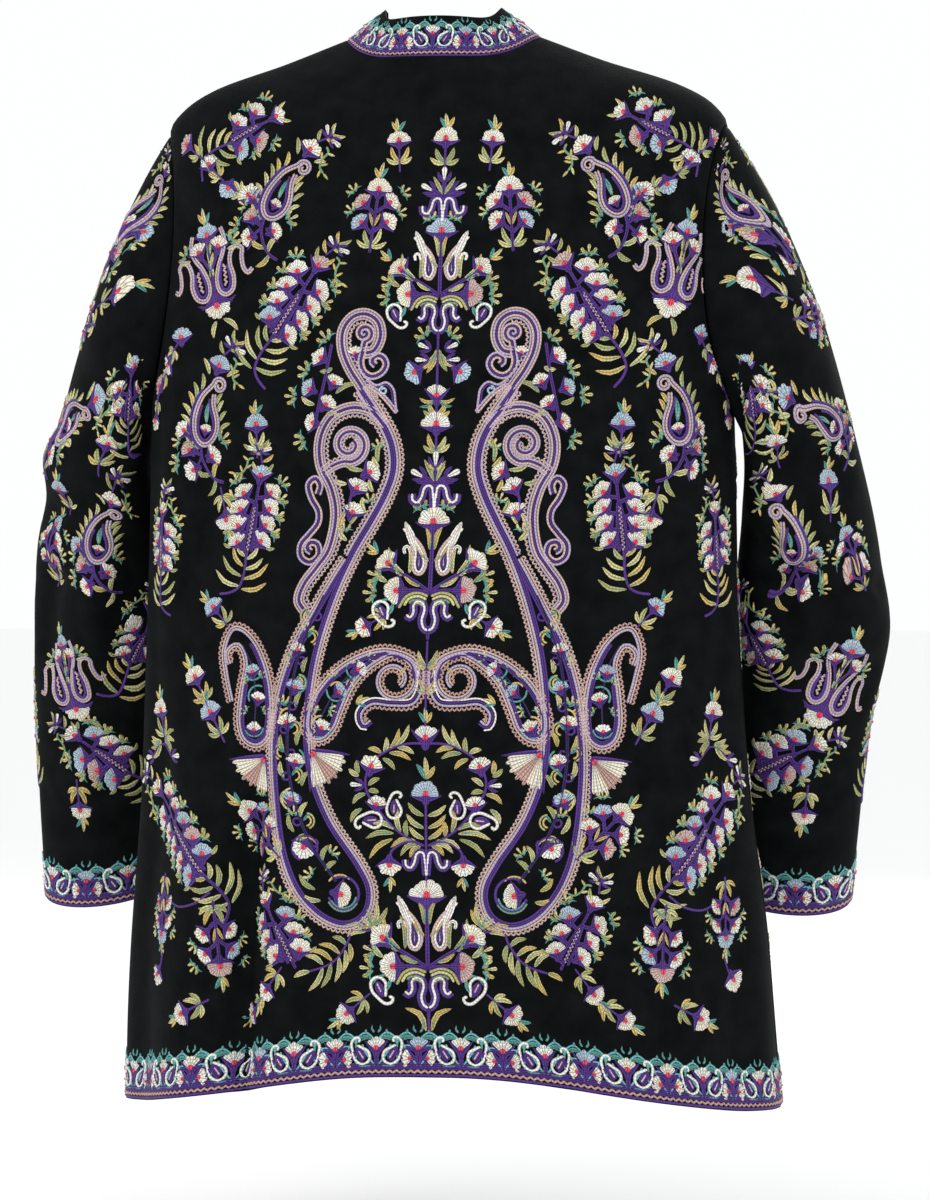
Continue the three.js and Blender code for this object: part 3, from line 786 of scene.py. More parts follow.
def make_thread(name, colour):
    """A thread's material: painted shade makes it darker between its links; its dye is a little uneven."""
    material, inputs = add_material("thread_" + name)
    tree, stitch = use_group(material, chain, 1.0)
    place = add_node(tree, "TexCoord").outputs
    dye = add_node(tree, "TexNoise", Vector=place["Object"], Scale=70, Detail=2)
    # Painted shade and light: the colour runs from a dark to a light copy of the thread's, by relief and dye.
    dye_and_painted_shade = add_math(tree, "MULTIPLY_ADD", dye.outputs["Fac"], 0.35, stitch["PaintedShade"])
    dark, light = [0.36 * c for c in colour], [min(1.0, 1.1 * c) for c in colour]
    add_shades(tree, dye_and_painted_shade, (0.4, dark), (1.0, light))
    set_inputs(inputs, Roughness=0.62, Specular_IOR_Level=0.25, Sheen_Weight=0.08, Sheen_Roughness=0.4)
    return material


threads = {name: make_thread(name, colour) for name, colour in THREADS.items()}

# Outlines of short rows of stitching: the width at shares of the length.
SHAPES = {
    "petal": ([0, 0.3, 0.6, 0.82, 0.94, 1], [0.3, 0.62, 0.92, 1, 0.72, 0.3]),
    "leaf": ([0, 0.12, 0.32, 0.55, 0.76, 0.92, 1], [0.3, 0.66, 0.97, 1, 0.8, 0.45, 0.15]),
    "tail": ([0, 0.1, 0.3, 0.5, 0.7, 0.88, 1], [0.5, 0.95, 1, 0.92, 0.72, 0.45, 0.2]),
}
STEP = 2.1  # millimetres between the points of a long row
hand_work = np.random.default_rng(11)


def vary(value, share=0.08):
    """A size with the slight unevenness of hand work."""
    return value * (1 + share * hand_work.uniform(-1, 1))


def travel(points):
    """How far along a line each of its points lies."""
    return np.concatenate([[0], np.cumsum(np.abs(np.diff(points)))])


def between(at, run, points):
    """Points of a line at distances along it."""
    return np.interp(at, run, points.real) + 1j * np.interp(at, run, points.imag)


def spline(points, step=STEP):
    """A smooth curve through points of the plane, as complex numbers a step apart."""
    points = np.asarray(points, complex)
    p = np.concatenate([[2 * points[0] - points[1]], points, [2 * points[-1] - points[-2]]])
    f = np.linspace(0, 1, 9)[:-1]
    a, b, c, d = (p[i : len(p) - 3 + i, None] for i in range(4))
    dense = b + f * ((c - a) + f * ((2 * a - 5 * b + 4 * c - d) + f * (3 * b - a - 3 * c + d))) / 2
    dense = np.append(dense.ravel(), points[-1])
    run = travel(dense)
    return between(np.linspace(0, run[-1], max(3, round(run[-1] / step) + 1)), run, dense)


def shift(curve, distance):
    """A curve moved sideways to its left."""
    way = np.gradient(curve)
    return curve + 1j * distance * way / np.abs(way)


def spiral(centre, start, end, turn, turns):
    """A spiral between two radii, from an angle in degrees and for so many turns."""
    f = np.linspace(0, 1, round(abs(turns) * 12) + 1)
    return centre + (start + (end - start) * f) * np.exp(1j * (math.radians(turn) + 2 * math.pi * turns * f))


class Place:
    """A spot on a ground, with its own axes: x to the right and y up its motif, in millimetres."""

    def __init__(self, ground, lay=lambda z: z, size=1.0):
        self.ground, self.lay, self.size = ground, lay, size

    def put(self, foot=0, turn=0, size=1.0, hand=1):
        """A spot within this one, turned anticlockwise in degrees, and mirrored by a hand of -1."""
        spin = size * np.exp(1j * math.radians(turn))

        def lay(z):
            z = np.asarray(z, complex)
            if hand < 0:
                z = -z.conjugate()
            return self.lay(foot + spin * z)

        return Place(self.ground, lay, self.size * size)

    def row(self, points, thread, width, shape="line", layer=0):
        """Works a row of chain stitch through points."""
        self.ground.rows.append((self.lay(points), thread, width * self.size, shape, layer))


def stations(points, width, shape):
    """A row's points and widths, and how far along it they lie."""
    run = travel(points)
    if shape in SHAPES:
        f, wide = SHAPES[shape]
        at, wide = run[-1] * np.array(f), width * np.array(wide)
    else:
        cap = min(0.45 * width, 0.3 * run[-1])
        inner = np.clip(run, cap, run[-1] - cap)
        inner = inner[np.concatenate([[True], np.diff(inner) > 0.2])]
        at = np.concatenate([[0, 0.3 * cap], inner, [run[-1] - 0.3 * cap, run[-1]]])
        wide = np.full(len(at), width)
        wide[[0, -1]] *= 0.35
        wide[[1, -2]] *= 0.8
    return between(at, run, points), wide, at


# How a row lies, in millimetres: its crown across and up, from which width it is flatter, how high it stands
# for its width and at most, how far its edges sink in, the rise of one layer, and a strand's width.
PLAIN_CROWN = np.array([-1, 0, 1]), np.array([0, 1, 0])
FLAT_CROWN = np.array([-1, -0.55, 0, 0.55, 1]), np.array([0, 0.8, 1, 0.8, 0])
WIDE_ROW = 5.5
CROWN_SHARE, CROWN_MOST = 0.42, 1.05
SUNK, LAYER, STRAND = 0.25, 0.45, 1.9


def embroider(name, ground):
    """One mesh of a ground's rows: ribbons with a rounded crown, on the cloth or on the rows under them."""
    names = list(threads)
    flat, lift, uv, quads, thread_of = [], [], [], [], []
    count = 0
    for points, thread, width, shape, layer in ground.rows:
        line, wide, run = stations(np.asarray(points, complex), width, shape)
        way = np.gradient(line)
        side = 1j * way / np.maximum(np.abs(way), 1e-9)
        spread, rise = FLAT_CROWN if width > WIDE_ROW else PLAIN_CROWN
        crown = min(CROWN_SHARE * width, CROWN_MOST)
        n, k = len(line), len(spread)
        flat.append((line[:, None] + side[:, None] * spread * wide[:, None] / 2).ravel())
        height = -SUNK + rise * (crown + SUNK) * (wide[:, None] / width) ** 0.5 + LAYER * layer
        lift.append(height.ravel())
        strands = max(1, round(width / STRAND))
        both = np.broadcast_arrays(run[:, None] / LINK, (spread / 2 + 0.5) * strands * 0.999 + 0.0005)
        uv.append(np.stack(both, -1).reshape(-1, 2))
        knot = count + np.arange(n * k).reshape(n, k)
        faces = np.stack([knot[:-1, :-1], knot[1:, :-1], knot[1:, 1:], knot[:-1, 1:]], -1).reshape(-1, 4)
        quads.append(faces)
        thread_of.append(np.full(len(faces), names.index(thread)))
        count += n * k
    flat, lift, uv = np.concatenate(flat), np.concatenate(lift), np.concatenate(uv)
    quads, thread_of = np.concatenate(quads), np.concatenate(thread_of)
    surface, on = ground.find(flat)
    keep = (on & (surface[:, 6] > 0))[quads].all(1)
    quads, thread_of = quads[keep], thread_of[keep]
    used, quads = np.unique(quads, return_inverse=True)
    quads = quads.reshape(-1, 4)
    surface = surface[used]
    points = (surface[:, :3] + surface[:, 3:6] * lift[used, None]) / 1000
    obj = add_object(name, points.tolist(), quads.tolist())
    obj.data.uv_layers.new(name="stitch").data.foreach_set("uv", uv[used][quads].astype(np.float32).ravel())
    shown = np.unique(thread_of)
    for i in shown:
        obj.data.materials.append(threads[names[i]])
    obj.data.polygons.foreach_set("material_index", np.searchsorted(shown, thread_of).astype(np.int32))
    obj.data.shade_smooth()
    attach(obj, "root")
    ground.rows.clear()


# Motifs. Each points up from its foot at the origin of its place, and its left half mirrors its right one
# unless it says otherwise.
def sides(place):
    """A motif's right half, and its left one, mirrored."""
    return [place.put(hand=hand) for hand in (1, -1)]


def leaf(place, long=13.0, wide=5.0, bend=0.12, edge=None, vein=None):
    """A leaf of pale rows round a green vein. It leaves its foot to the right and bends back to the left."""
    long, spot = vary(long, 0.1), place.put(turn=hand_work.uniform(-6, 6))
    edge = edge or hand_work.choice(["straw", "straw", "olive", "olive", "gold"])
    vein = vein or hand_work.choice(["sage", "sage", "teal"])
    spine = spline([0, long * (0.5j + bend), long * (1j + 0.3 * bend)], 1.3)
    spot.row(spine, edge, wide, "leaf")
    if long > 7:
        count = len(spine)
        spot.row(spine[round(0.1 * count) : -max(1, round(0.2 * count))], vein, 0.38 * wide, "tail", 1)


def leaves(place, wide, bend, *spots):
    """Leaves at spots: the foot, turn and length of each, and its bend if it has one of its own."""
    for at, turn, long, *own in spots:
        leaf(place.put(at, turn), long, wide, *(own or [bend]))


def trio(place):
    """Three small leaves at a tip: one green and two gold."""
    for turn, long, edge, vein in (
        (32, 10, "teal", "aqua"),
        (-32, 10, "gold", "olive"),
        (0, 12.5, "straw", "gold"),
    ):
        leaf(place.put(turn=turn), long, 4.0, 0.06, edge, vein)


def tuft(place):
    """Three gold blades over a pair of green curls."""
    for hand in (1, -1):
        place.row(spline([hand * 0.8, hand * 4.2 + 2.2j, hand * 8.6 + 0.6j], 1.6), "teal", 2.4, "tail")
        place.row(spline([hand * 0.6 + 2j, hand * 3.4 + 4j, hand * 7 + 3.4j], 1.6), "sage", 2.0, "tail")
        blade = place.put(1.6j, -hand * vary(44), hand=hand)
        thread = hand_work.choice(["gold", "straw", "olive"])
        blade.row(spline([0, 1.6 + 3.6j, 0.6 + 8j], 1.6), thread, 3.4, "petal")
    place.put(2.4j).row([0, 3.6j, 7.4j], "straw", 3.2, "petal")


def tufts(place, size, *spots):
    """Tufts of one size: the foot and turn of each."""
    for at, turn in spots:
        tuft(place.put(at, turn, size))


def leaf_pair(place, long=13.0):
    """Two leaves to each side of a stem."""
    for side in sides(place):
        leaf(side.put(0, -26), long, 4.8, 0.14)
        leaf(side.put(0.4 - 0.5j, -62), 0.8 * long, 4.4, 0.16)


def blossom(place, petals="cream", radius=9.5, spread=80, count=6):
    """A fan of round petals in a violet cup, with a rose knot where they meet. Its foot is the knot."""
    radius = vary(radius, 0.06)
    for hand in (1, -1):
        wing = place.put(0.12j * radius, hand=hand)
        out = math.radians(spread + 16)
        tip = 1.16 * radius * (math.sin(out) + 1j * math.cos(out))
        line = spline([-0.5j * radius, 0.5 * tip - 0.22j * radius, tip], 1.6)
        wing.row(line, "violet", 0.44 * radius, "tail")
    place.row([-0.75j * radius, -0.2j * radius, 0.2j * radius], "violet", 0.66 * radius, "leaf")
    pitch = math.radians(2 * spread) / (count - 1)
    for turn in np.linspace(-spread, spread, count):
        petal = place.put(turn=turn + hand_work.uniform(-3, 3))
        long = vary(radius, 0.09)
        thread = "ivory" if petals == "cream" and hand_work.random() < 0.3 else petals
        petal.row([0.18j * long, 0.6j * long, 1j * long], thread, 1.04 * pitch * radius, "petal", 0.6)
    place.row(np.array([-0.05j, 0.22j, 0.34j]) * radius, "rose", 0.42 * radius, "line", 2)


def blossoms(place, size, spread, *spots):
    """Blossoms at spots: the foot, turn and petals of each, and its size if it has one of its own."""
    for at, turn, petals, *own in spots:
        blossom(place.put(at, turn, *(own or [size])), petals, spread=spread)


def cup(place, petals):
    """A half-open blossom, taller than it is wide, in a violet V."""
    blossom(place, petals, 9.4, 44, 4)


def bud(place):
    """A white bud between violet sepals."""
    for hand in (1, -1):
        place.put(0, -hand * 30).row(spline([0, 5j + hand, 10j], 1.5), "violet", 3.6, "leaf")
    place.row([2j, 7j, 12j], "ivory", 4.2, "petal", 1)


def stem(place, points, width=2.2, thread="violet"):
    """One row along a smooth line."""
    place.row(spline(points), thread, width)


def sprig(place, petals="cream"):
    """A blossom on a short leafy stem, with three leaves at its tip."""
    stem(place, [-7j, 8j, 17j])
    leaf_pair(place.put(1j), 14)
    blossom(place.put(18j), petals, 9.2)
    trio(place.put(26j))


def teardrop(long, wide, hook):
    """A paisley's outline: round at its foot, its tip curled over to the left."""
    w, h, r = wide / 2, long, hook
    over = spiral(-0.25 * w + 1j * (h - r) - r * 0.75, 0.35 * r, r, 360 * 1.15, -1.15)
    body = [
        0.62 * w + 0.7j * h, 1.0 * w + 0.42j * h, 0.92 * w + 0.17j * h, 0.5 * w + 0.035j * h, 0,
        -0.52 * w + 0.05j * h, -0.9 * w + 0.2j * h, -0.84 * w + 0.38j * h, -0.4 * w + 0.6j * h,
        -0.32 * w + 0.76j * h,
    ]
    return spline(np.concatenate([over, body]), 1.6)


def mini_paisley(place, long):
    """A small paisley of a white row round violet, with a pink heart."""
    place.row(np.array([0.14j, 0.3j, 0.5j, 0.74j]) * long, "violet", 0.36 * long, "leaf")
    w, h = 0.27 * long, long
    line = [
        -0.6 * w + 0.8j * h, -1.0 * w + 0.9j * h, -0.5 * w + 1.02j * h, 0.3 * w + 0.94j * h,
        0.8 * w + 0.66j * h, 1.1 * w + 0.36j * h, 0.75 * w + 0.08j * h, 0, -0.75 * w + 0.08j * h,
        -1.05 * w + 0.32j * h, -0.6 * w + 0.56j * h, -0.2 * w + 0.74j * h,
    ]
    place.row(spline(line, 1.5), "ivory", 0.125 * long, "line", 0.5)
    place.row(np.array([0.2j, 0.34j, 0.54j]) * long, "blush", 0.1 * long, "line", 1.4)


def side_by_side(place, curve, *rows):
    """Rows along one curve: how far to its left each lies, its thread and width, and how it lies."""
    for away, thread, *how in rows:
        place.row(shift(curve, away), thread, *how)


def arc(place, centre, radius, start, turns, thread, width=2.0, step=1.8):
    """A row on part of a circle, from an angle in degrees."""
    place.row(spline(spiral(centre, radius, radius, start, turns), step), thread, width)


def walk(line, step):
    """Points a small step apart on a line, how far along they lie, and the line's way at each."""
    run = travel(line)
    at = np.arange(0, run[-1], step)
    fine = between(at, run, line)
    way = np.gradient(fine)
    return at, fine, way / np.maximum(np.abs(way), 1e-9)


def zigzag(place, line, thread="blush", width=1.6, pitch=3.4, high=1.0):
    """A wavy row along a line."""
    at, fine, way = walk(line, pitch / 4)
    place.row(fine + 1j * way * high * np.sin(at / pitch * 2 * math.pi), thread, width, "line", 1)


def picot(place, line, side, thread="dusty"):
    """A scalloped edging on one side of a line."""
    at, fine, way = walk(line, 0.9)
    out = 0.2 + 2.0 * np.abs(np.sin(at / 3.6 * math.pi))
    place.row(fine + side * 1j * way * out, thread, 1.7, "line", 0.3)


def lyre(place, deep=False):
    """A looping white line shadowed in violet: an M with curled ends, or a deep U between two curls."""
    if deep:
        line = [-20.5j, 3.2 - 18.5j, 4.6 - 13j, 3 - 6.5j, 4.4 - 1.6j, 8 - 0.4j, 10.8 - 3j, 10.6 - 8j]
        line += [12.8 - 11.5j, 15.4 - 9.5j]
    else:
        line = [-17j, 0.8 - 9j, 1.6 - 1.5j, 4.4 + 0.6j, 7.4 - 1.5j, 8.8 - 7j, 11.5 - 11j, 15 - 9.5j]
        line += [15.5 - 5j]
    rows = (-2.1, "violet", 2.4), (2.0, "violet", 2.0), (0, "ivory", 2.1, "line", 0.5)
    for side in sides(place):
        side_by_side(side, spline(line, 1.5), *rows)


def crown(place):
    """Three white buds spread in violet, with leaves between."""
    for turn in (0, 62, -62):
        arm = place.put(turn=turn)
        arm.row([0, 7j, 14j], "violet", 4.4, "leaf")
        bud(arm.put(10j if turn == 0 else 7j))
    for hand in (1, -1):
        leaf(place.put(1j, -hand * 28), 16, 4.0, 0, "olive")
        place.put(turn=-hand * 88).row([0, 6j, 13j], "violet", 3.8, "tail")


def twin_buds(place):
    """The leafy tip of a spray: two nodding buds, and a tail of gold blades to the right."""
    stem(place, [-2j, 3 + 6j, 4 + 12j], 2.4)
    spots = (0, 44, 11, -0.14), (3 + 6j, -58, 11), (4 + 12j, 34, 11, -0.14), (4 + 12j, -44, 11)
    leaves(place, 4.2, 0.14, *spots)
    bud(place.put(3 + 8j, 60, 0.9))
    bud(place.put(5 + 9j, -82))
    place.row(spline([9 + 2j, 14 + 0j, 15 - 7j, 19 - 13j, 25 - 14j], 1.8), "sage", 2.6)
    for at, turn in ((14 - 1j, -60), (15 - 8j, 50), (18 - 12j, -30), (21 - 14j, -150), (25 - 14j, -90)):
        place.put(at, turn).row([0, 3.5j, 7j], hand_work.choice(["gold", "straw", "olive"]), 2.8, "leaf")


def foot_leaves(place):
    """The leafy foot of a spray: curved leaves swept up to both sides of its stem, which ends in a hook."""
    stem(place, [0, -1 - 12j, 1 - 24j, 8 - 30j, 18 - 33j], 2.8)
    for hand in (1, -1):
        side = place.put(hand=hand)
        for y, turn, long in ((-1, -36, 13), (-9, -44, 18), (-17, -50, 23), (-25, -60, 25)):
            leaf(side.put(1 + (y + hand) * 1j, turn), long, 4.8, 0.17)


def spray(place, long=72.0, pairs=4, seed=0, foot=True, tip=True):
    """An almond of half-open blossoms on a violet stem, with tufts round its outline and a leafy foot."""
    palette = ("cream", "cream", "sky", "cream", "blush", "cream", "sky", "cream", "cream")
    stem(place, [-4j, 0.4j * long, (long - 12) * 1j], 3.2)
    gap = (long - 22) / pairs
    for hand in (1, -1):
        side = place.put(hand=hand)
        for i in range(pairs):
            y = 7 + gap * i + (gap * 0.3 if hand < 0 else 0)
            out = 8.2 + 4.4 * math.sin(math.pi * min(1, (y + 3) / long))
            branch = [(y - 5) * 1j, 0.6 * out + (y - 3) * 1j, out - 0.5 + (y + 1) * 1j]
            side.row(spline(branch, 2.4), "violet", 4.0)
            petals = palette[(2 * i + seed + (5 if hand < 0 else 0)) % 9]
            blossom(side.put(out - 1.0 + y * 1j, -38), petals, 9.6, 62, 5)
            tuft(side.put(out + 6.4 + (y + 0.62 * gap) * 1j, -58 + 8 * i, 0.94))
            leaf(side.put(out + 4 + (y - 3) * 1j, -84), 9, 3.8, 0.16, "olive")
        side.row(spline([3.6 + 2j, 3.2 + 0.3j * long, 0.8 + 0.56j * long]), "violet", 3.2)
        leaf(side.put(2 + (long - 9) * 1j, -36), 11, 4.0, 0.12)
    zigzag(place, spline([3j, 0.25j * long, 0.52j * long]))
    blossom(place.put((long - 12) * 1j), palette[(seed + 3) % 9], 9.4, 54, 5)
    if foot:
        foot_leaves(place.put(-2j))
    if tip:
        twin_buds(place.put(long * 1j, 0, 0.9))


def small_spray(place, seed=0):
    """Five blossoms close on one stem, with tufts, leaves at the foot and three leaves at the tip."""
    palette = ("sky", "cream", "blush", "cream", "cream")
    stem(place, [-8j, 14j, 38j], 3.0)
    leaf_pair(place.put(-3j), 15)
    for i, (x, y, turn) in enumerate(((9, 14, -54), (-9, 16, 54), (9.5, 29, -48), (-9.5, 31, 48))):
        stem(place, [(y - 8) * 1j, 0.6 * x + (y - 3) * 1j], 3.6)
        blossom(place.put(x + y * 1j, turn, 0.84), palette[(i + seed) % 5], spread=66)
        tuft(place.put(1.9 * x + (y + 8) * 1j, turn, 0.8))
    for hand in (1, -1):
        leaf(place.put(12j, -hand * 20), 12, 3.0, 0, "gold", "olive")
    blossom(place.put(40j), palette[(4 + seed) % 5], 10)
    trio(place.put(49j))


def fringed_paisley(place, seed=0):
    """A paisley with a flower in it, edged with leaves, over a foot of blossoms."""
    line = teardrop(50, 21, 5.5)
    side_by_side(place, line, (1.1, "lilac", 2.4), (-1.1, "blush", 2.2))
    body = line[round(0.36 * len(line)) : round(0.97 * len(line))]
    place.row(shift(body, -3.4), "violet", 2.6)
    leaf(place.put(16j, 4), 16, 4.6, 0.06, "teal", "olive")
    blossom(place.put(10j, 6, 0.62), "cream", 9.0, 60, 5)
    edge = shift(line[round(0.28 * len(line)) : round(0.64 * len(line))], 3.4)
    place.row(edge, "violet", 2.4)
    for i in range(1, len(edge) - 1, 4):
        way = math.degrees(np.angle(edge[i - 1] - edge[i + 1])) - 90
        leaf(place.put(edge[i], way - 46), 12, 4.4, -0.14)
    edge = shift(line[round(0.76 * len(line)) : round(0.96 * len(line))], 2.6)
    for i in range(1, len(edge) - 1, 4):
        way = math.degrees(np.angle(edge[i + 1] - edge[i - 1])) - 90
        leaf(place.put(edge[i], way + 44), 9.5, 4.0, 0.14)
    blossom(place.put(-4 + 58j, 16, 0.95), ("cream", "sky")[seed % 2], spread=70)
    leaf(place.put(3 + 52j, -30), 12, 4.4, -0.1)
    leaf(place.put(-12 + 52j, 62), 10, 4.2, 0.1)
    twin_buds(place.put(-7 + 68j, 24, 0.9, -1))
    stem(place, [3 - 1j, 1 - 10j, -6 - 19j, -14 - 24j, -22 - 25j], 3.0)
    last = ("sky", "cream")[seed % 2]
    feet = (-8 - 8j, 46, "cream"), (12 - 6j, -50, "blush"), (6 - 19j, -118, "cream"), (18 + 8j, -66, last)
    for at, turn, petals in feet:
        stem(place, [0.2 * at.real - 8j, at], 3.0)
        blossom(place.put(at, turn, 0.84), petals, spread=64)
    tufts(place, 1, (-14 + 4j, 40), (19 - 16j, -96))
    tufts(place, 0.8, (21 + 0j, -84))
    spots = (4 - 3j, -64, 16), (-9 - 21j, -76, 15), (-12 - 23j, 12, 15), (-14 - 24j, -150, 14)
    leaves(place, 5, 0.18, *spots)


def double_paisley(place, seed=0):
    """Two paisleys side by side with crossed tails, three blossoms over them and one hanging under."""
    line = [
        -3 + 48j, 0 + 40j, -1 + 31j, -4.6 + 22j, -7 + 12j, -5.5 + 3.5j, 0, 5.5 + 3.5j, 6.6 + 12j, 4.2 + 21j,
        5 + 29j, 9.5 + 33j, 14 + 30.5j, 13.5 + 25j, 14.5 + 17j, 18 + 13j, 21.5 + 16j,
    ]
    for side in sides(place):
        hook = side.put(9 + 3j, -8)
        side_by_side(hook, spline(line, 1.6), (0.9, "lilac", 2.2), (-0.9, "blush", 2.0))
        body = spline([-2.4 + 24j, -4 + 12j, -2.8 + 5j, 0.2 + 3.2j, 3 + 5.5j, 3.6 + 12j, 1.8 + 21j], 1.6)
        hook.row(body, "violet", 2.6)
        zigzag(hook, spline([0.2 + 6j, 0.2 + 12j, -0.4 + 22j]), width=1.8)
        leaf(side.put(1.4 + 18j, -6), 17, 4.6, -0.14)
        stem(side, [22j, 5 + 30j, 8 + 36j], 3.2)
        blossom(side.put(8.5 + 37j, -20, 0.9), "cream", 9, 54, 5)
        leaf(side.put(1 + 34j, -10), 12, 3.8, -0.1)
        tuft(side.put(19 + 38j, -56))
        leaf(side.put(16 + 34j, -80), 10, 4, 0.1)
        side.row(spline([0.5 - 1j, 8 - 2.5j, 16 + 1j], 1.8), "violet", 4.2, "tail")
    stem(place, [0, 20j, 44j], 3.4)
    blossom(place.put(47j), ("sky", "cream")[seed % 2], 10, 64, 6)
    trio(place.put(56j))
    blossom(place.put(-1j, 180), ("cream", "sky")[seed % 2], 11.5, 72, 7)
    leaves(place, 4.6, 0.15, (-3 - 13j, 140, 14), (3 - 13j, 200, 12, -0.15))


def bouquet(place, top="sky"):
    """Two tall paisleys under a large blossom, four blossoms on side stems, and a deep lyre below."""
    stem(place, [-2j, 22j, 44j], 3.6)
    blossom(place.put(46j), top, 11.4, 76, 6)
    line = [
        19 + 44j, 13.5 + 38j, 8 + 32j, 4.2 + 25j, 3.2 + 17j, 6.6 + 10.8j, 11.6 + 12j, 13.6 + 18j,
        13.4 + 26j, 15.4 + 33j, 19 + 44j,
    ]
    for hand in (1, -1):
        side = place.put(hand=hand)
        side.row([11 + 27j, 14.6 + 36j, 19.6 + 47j], "ivory", 6.4, "leaf")
        side_by_side(side, spline(line, 1.6), (0.4, "blush", 2.3), (2.2, "ivory", 2.0))
        side.row(spline([8.4 + 14j, 8.2 + 21j, 10 + 29j], 1.8), "violet", 4.8, "leaf")
        side.row(spline([8.4 + 16.4j, 8.4 + 21j, 9.2 + 25j]), "blush", 1.6, "tail", 1)
        side.row(spline([14.4 + 25j, 16.4 + 30j, 19.4 + 29j, 18.6 + 25j], 1.6), "ivory", 2.8)
        leaves(
            side, 4.8, 0.1,
            (1.6 + 28j, -14, 17, -0.12), (2 + 20j, -34, 14, 0.12), (15 + 12j, -6, 20, -0.12),
            (18 + 11j, -24, 24, 0.2), (20 + 10j, -70, 15, -0.2), (5 + 3j, -64, 15),
            (24 + 14j, -16, 14), (30 + 6j, -40, 12, 0.14),
        )
        stem(side, [-1j, 12 + 7j, 26 + 15j], 3.2)
        blossom(side.put(29 + 18j, -44), "cream", 9.8, 58, 5)
        trio(side.put(37 + 26j, -50, 0.9))
        stem(side, [-2j, 9 + 0j, 19 + 0j], 3.2)
        blossom(side.put(22 + 0j, -90), "blush" if hand > 0 else "cream", 10, 76, 6)
        tuft(side.put(35 + 9j, -66))
        arch = spline([1 - 4j, 8 - 1.5j, 16 - 4j, 21 - 12j], 1.6)
        for i, thread in enumerate(("olive", "straw", "sage", "olive")):
            side.row(shift(arch, -2.4 * i)[: len(arch) - 2 * i], thread, 2.4, "line", 0.2)
        side.row(spline([24 - 5j, 33 - 7j, 38 - 13j], 1.6), "teal", 2.4, "tail")
        tuft(side.put(37 - 2j, -84))
        leaf(side.put(25 - 9j, -150), 10, 4, 0.1, "teal")
        mini_paisley(side.put(36 - 8j, 153, 1.0, -1), 19)
    lyre(place.put(-7j), True)
    stem(place, [-26j, -34j], 2.8)


def small_crest(place):
    """A crown of buds over a lyre, with curls over the blossom under them."""
    crown(place.put(27j))
    lyre(place.put(25j))
    for hand in (1, -1):
        place.row(spline([hand * 1.5 + 5j, hand * 8 + 12j, hand * 14 + 8j], 1.6), "teal", 2.2, "tail")
        tuft(place.put(hand * 8 + 9j, -hand * 24, 0.8))


def palmette(place):
    """A broad fan of cream and pink satin rows in a violet V, with a rose knot."""
    for hand in (1, -1):
        line = spline([-2j, hand * 12 + 11j, hand * 21 + 21j], 1.8)
        place.row(line, "violet", 4.6, "tail")
    for i, turn in enumerate(np.linspace(-40, 40, 12)):
        thread = "dusty" if 4 <= i <= 7 else "cream"
        place.put(turn=turn).row([3j, 15j, (25 + 2 * (i % 2)) * 1j], thread, 4.0, "petal", 0.6)
    place.row([0j, 3.5j], "rose", 4.6, "line", 2)


def border(place, start, end, size=1.0):
    """A border that stands on an edge: a zigzag between violet rows, flowers and paisleys under arches."""
    for up, width in ((1.7, 2.4), (6.9, 3.0), (9.6, 3.2)):
        place.row(spline([start + size * up * 1j, end + size * up * 1j], 4), "violet", width * size)
    rail = spline([start + size * 4.3j, end + size * 4.3j], 4)
    zigzag(place, rail, "dusty", 2.0 * size, 5.2 * size, 0.8 * size)
    pitch = 32 * size
    count = max(1, round((end - start) / pitch))
    pitch = (end - start) / count
    for i in range(count):
        spot = place.put(start + (i + 0.5) * pitch + size * 8.5j, 0, size)
        stem(spot, [0, 4j, 9j], 4.4)
        blossom(spot.put(12j), ("cream", "ivory", "sky", "cream")[i % 4], 9.6, 42, 5)
        for side in sides(spot):
            stem(side, [1, 4 + 4j, 9 + 11j, 11 + 16j], 2.0, "aqua")
            if i % 2:
                mini_paisley(side.put(7.6 + 2.2j, -33, 1, 1), 20)
                side.row(spline([4 + 0.5j, 12 + 0.2j, 16 + 3j, 15.4 + 8j], 1.8), "teal", 2.0)
            else:
                blossom(side.put(5.6 + 5.4j, -86), "cream", 7.6, 50, 4)
                side.row(spline([2 + 11j, 7 + 12.6j, 13 + 11j, 15.5 + 7j], 1.8), "violet", 3.0)
                side.row(spline([3 + 13.6j, 8 + 15j, 13.5 + 13.5j], 1.8), "aqua", 1.8)
            for down, thread in ((0, "aqua"), (2.1, "teal")):
                arch = np.array([16 + 15.5j, 14.6 + 20.5j, 8 + 24.4j, 1.2 + 19.5j]) - down * 1j
                side.row(spline(arch, 1.8), thread, 2.0)
            side.put(8 + 24j).row([0, 1.5j, 3j], "teal", 2.4, "leaf")
            side.row([10 + 3j, 13 + 6j, 14.4 + 11j], "violet", 3.4, "leaf")
            side.row(spline([3 + 20j, 7.6 + 21j, 11.8 + 18.6j], 1.8), "teal", 3.0, "leaf")
            side.row([1.4 + 24.5j, 3.4 + 27j, 3 + 30j], "teal", 2.2, "tail")


def chain_of(place, points, turns, seed=0):
    """A leafy stem through blossoms that face their own ways."""
    petals = ("cream", "sky", "ivory", "blush")
    stem(place, points, 2.2)
    for i, (at, turn) in enumerate(zip(points, turns)):
        blossom(place.put(at, turn, 0.96), petals[(i + seed) % 4], spread=66)
        if i:
            middle = (at + points[i - 1]) / 2
            way = math.degrees(np.angle(at - points[i - 1])) - 90
            leaf_pair(place.put(middle, way, 0.86), 12)


def pale_band(place, line):
    """A scroll of pale rows with one thin violet line."""
    side_by_side(place, line, (-3.4, "lilac", 2.0), (-1.5, "blush", 2.2), (0.3, "violet", 1.7))
    side_by_side(place, line, (2.1, "lilac", 2.2), (4.0, "blush", 2.0))


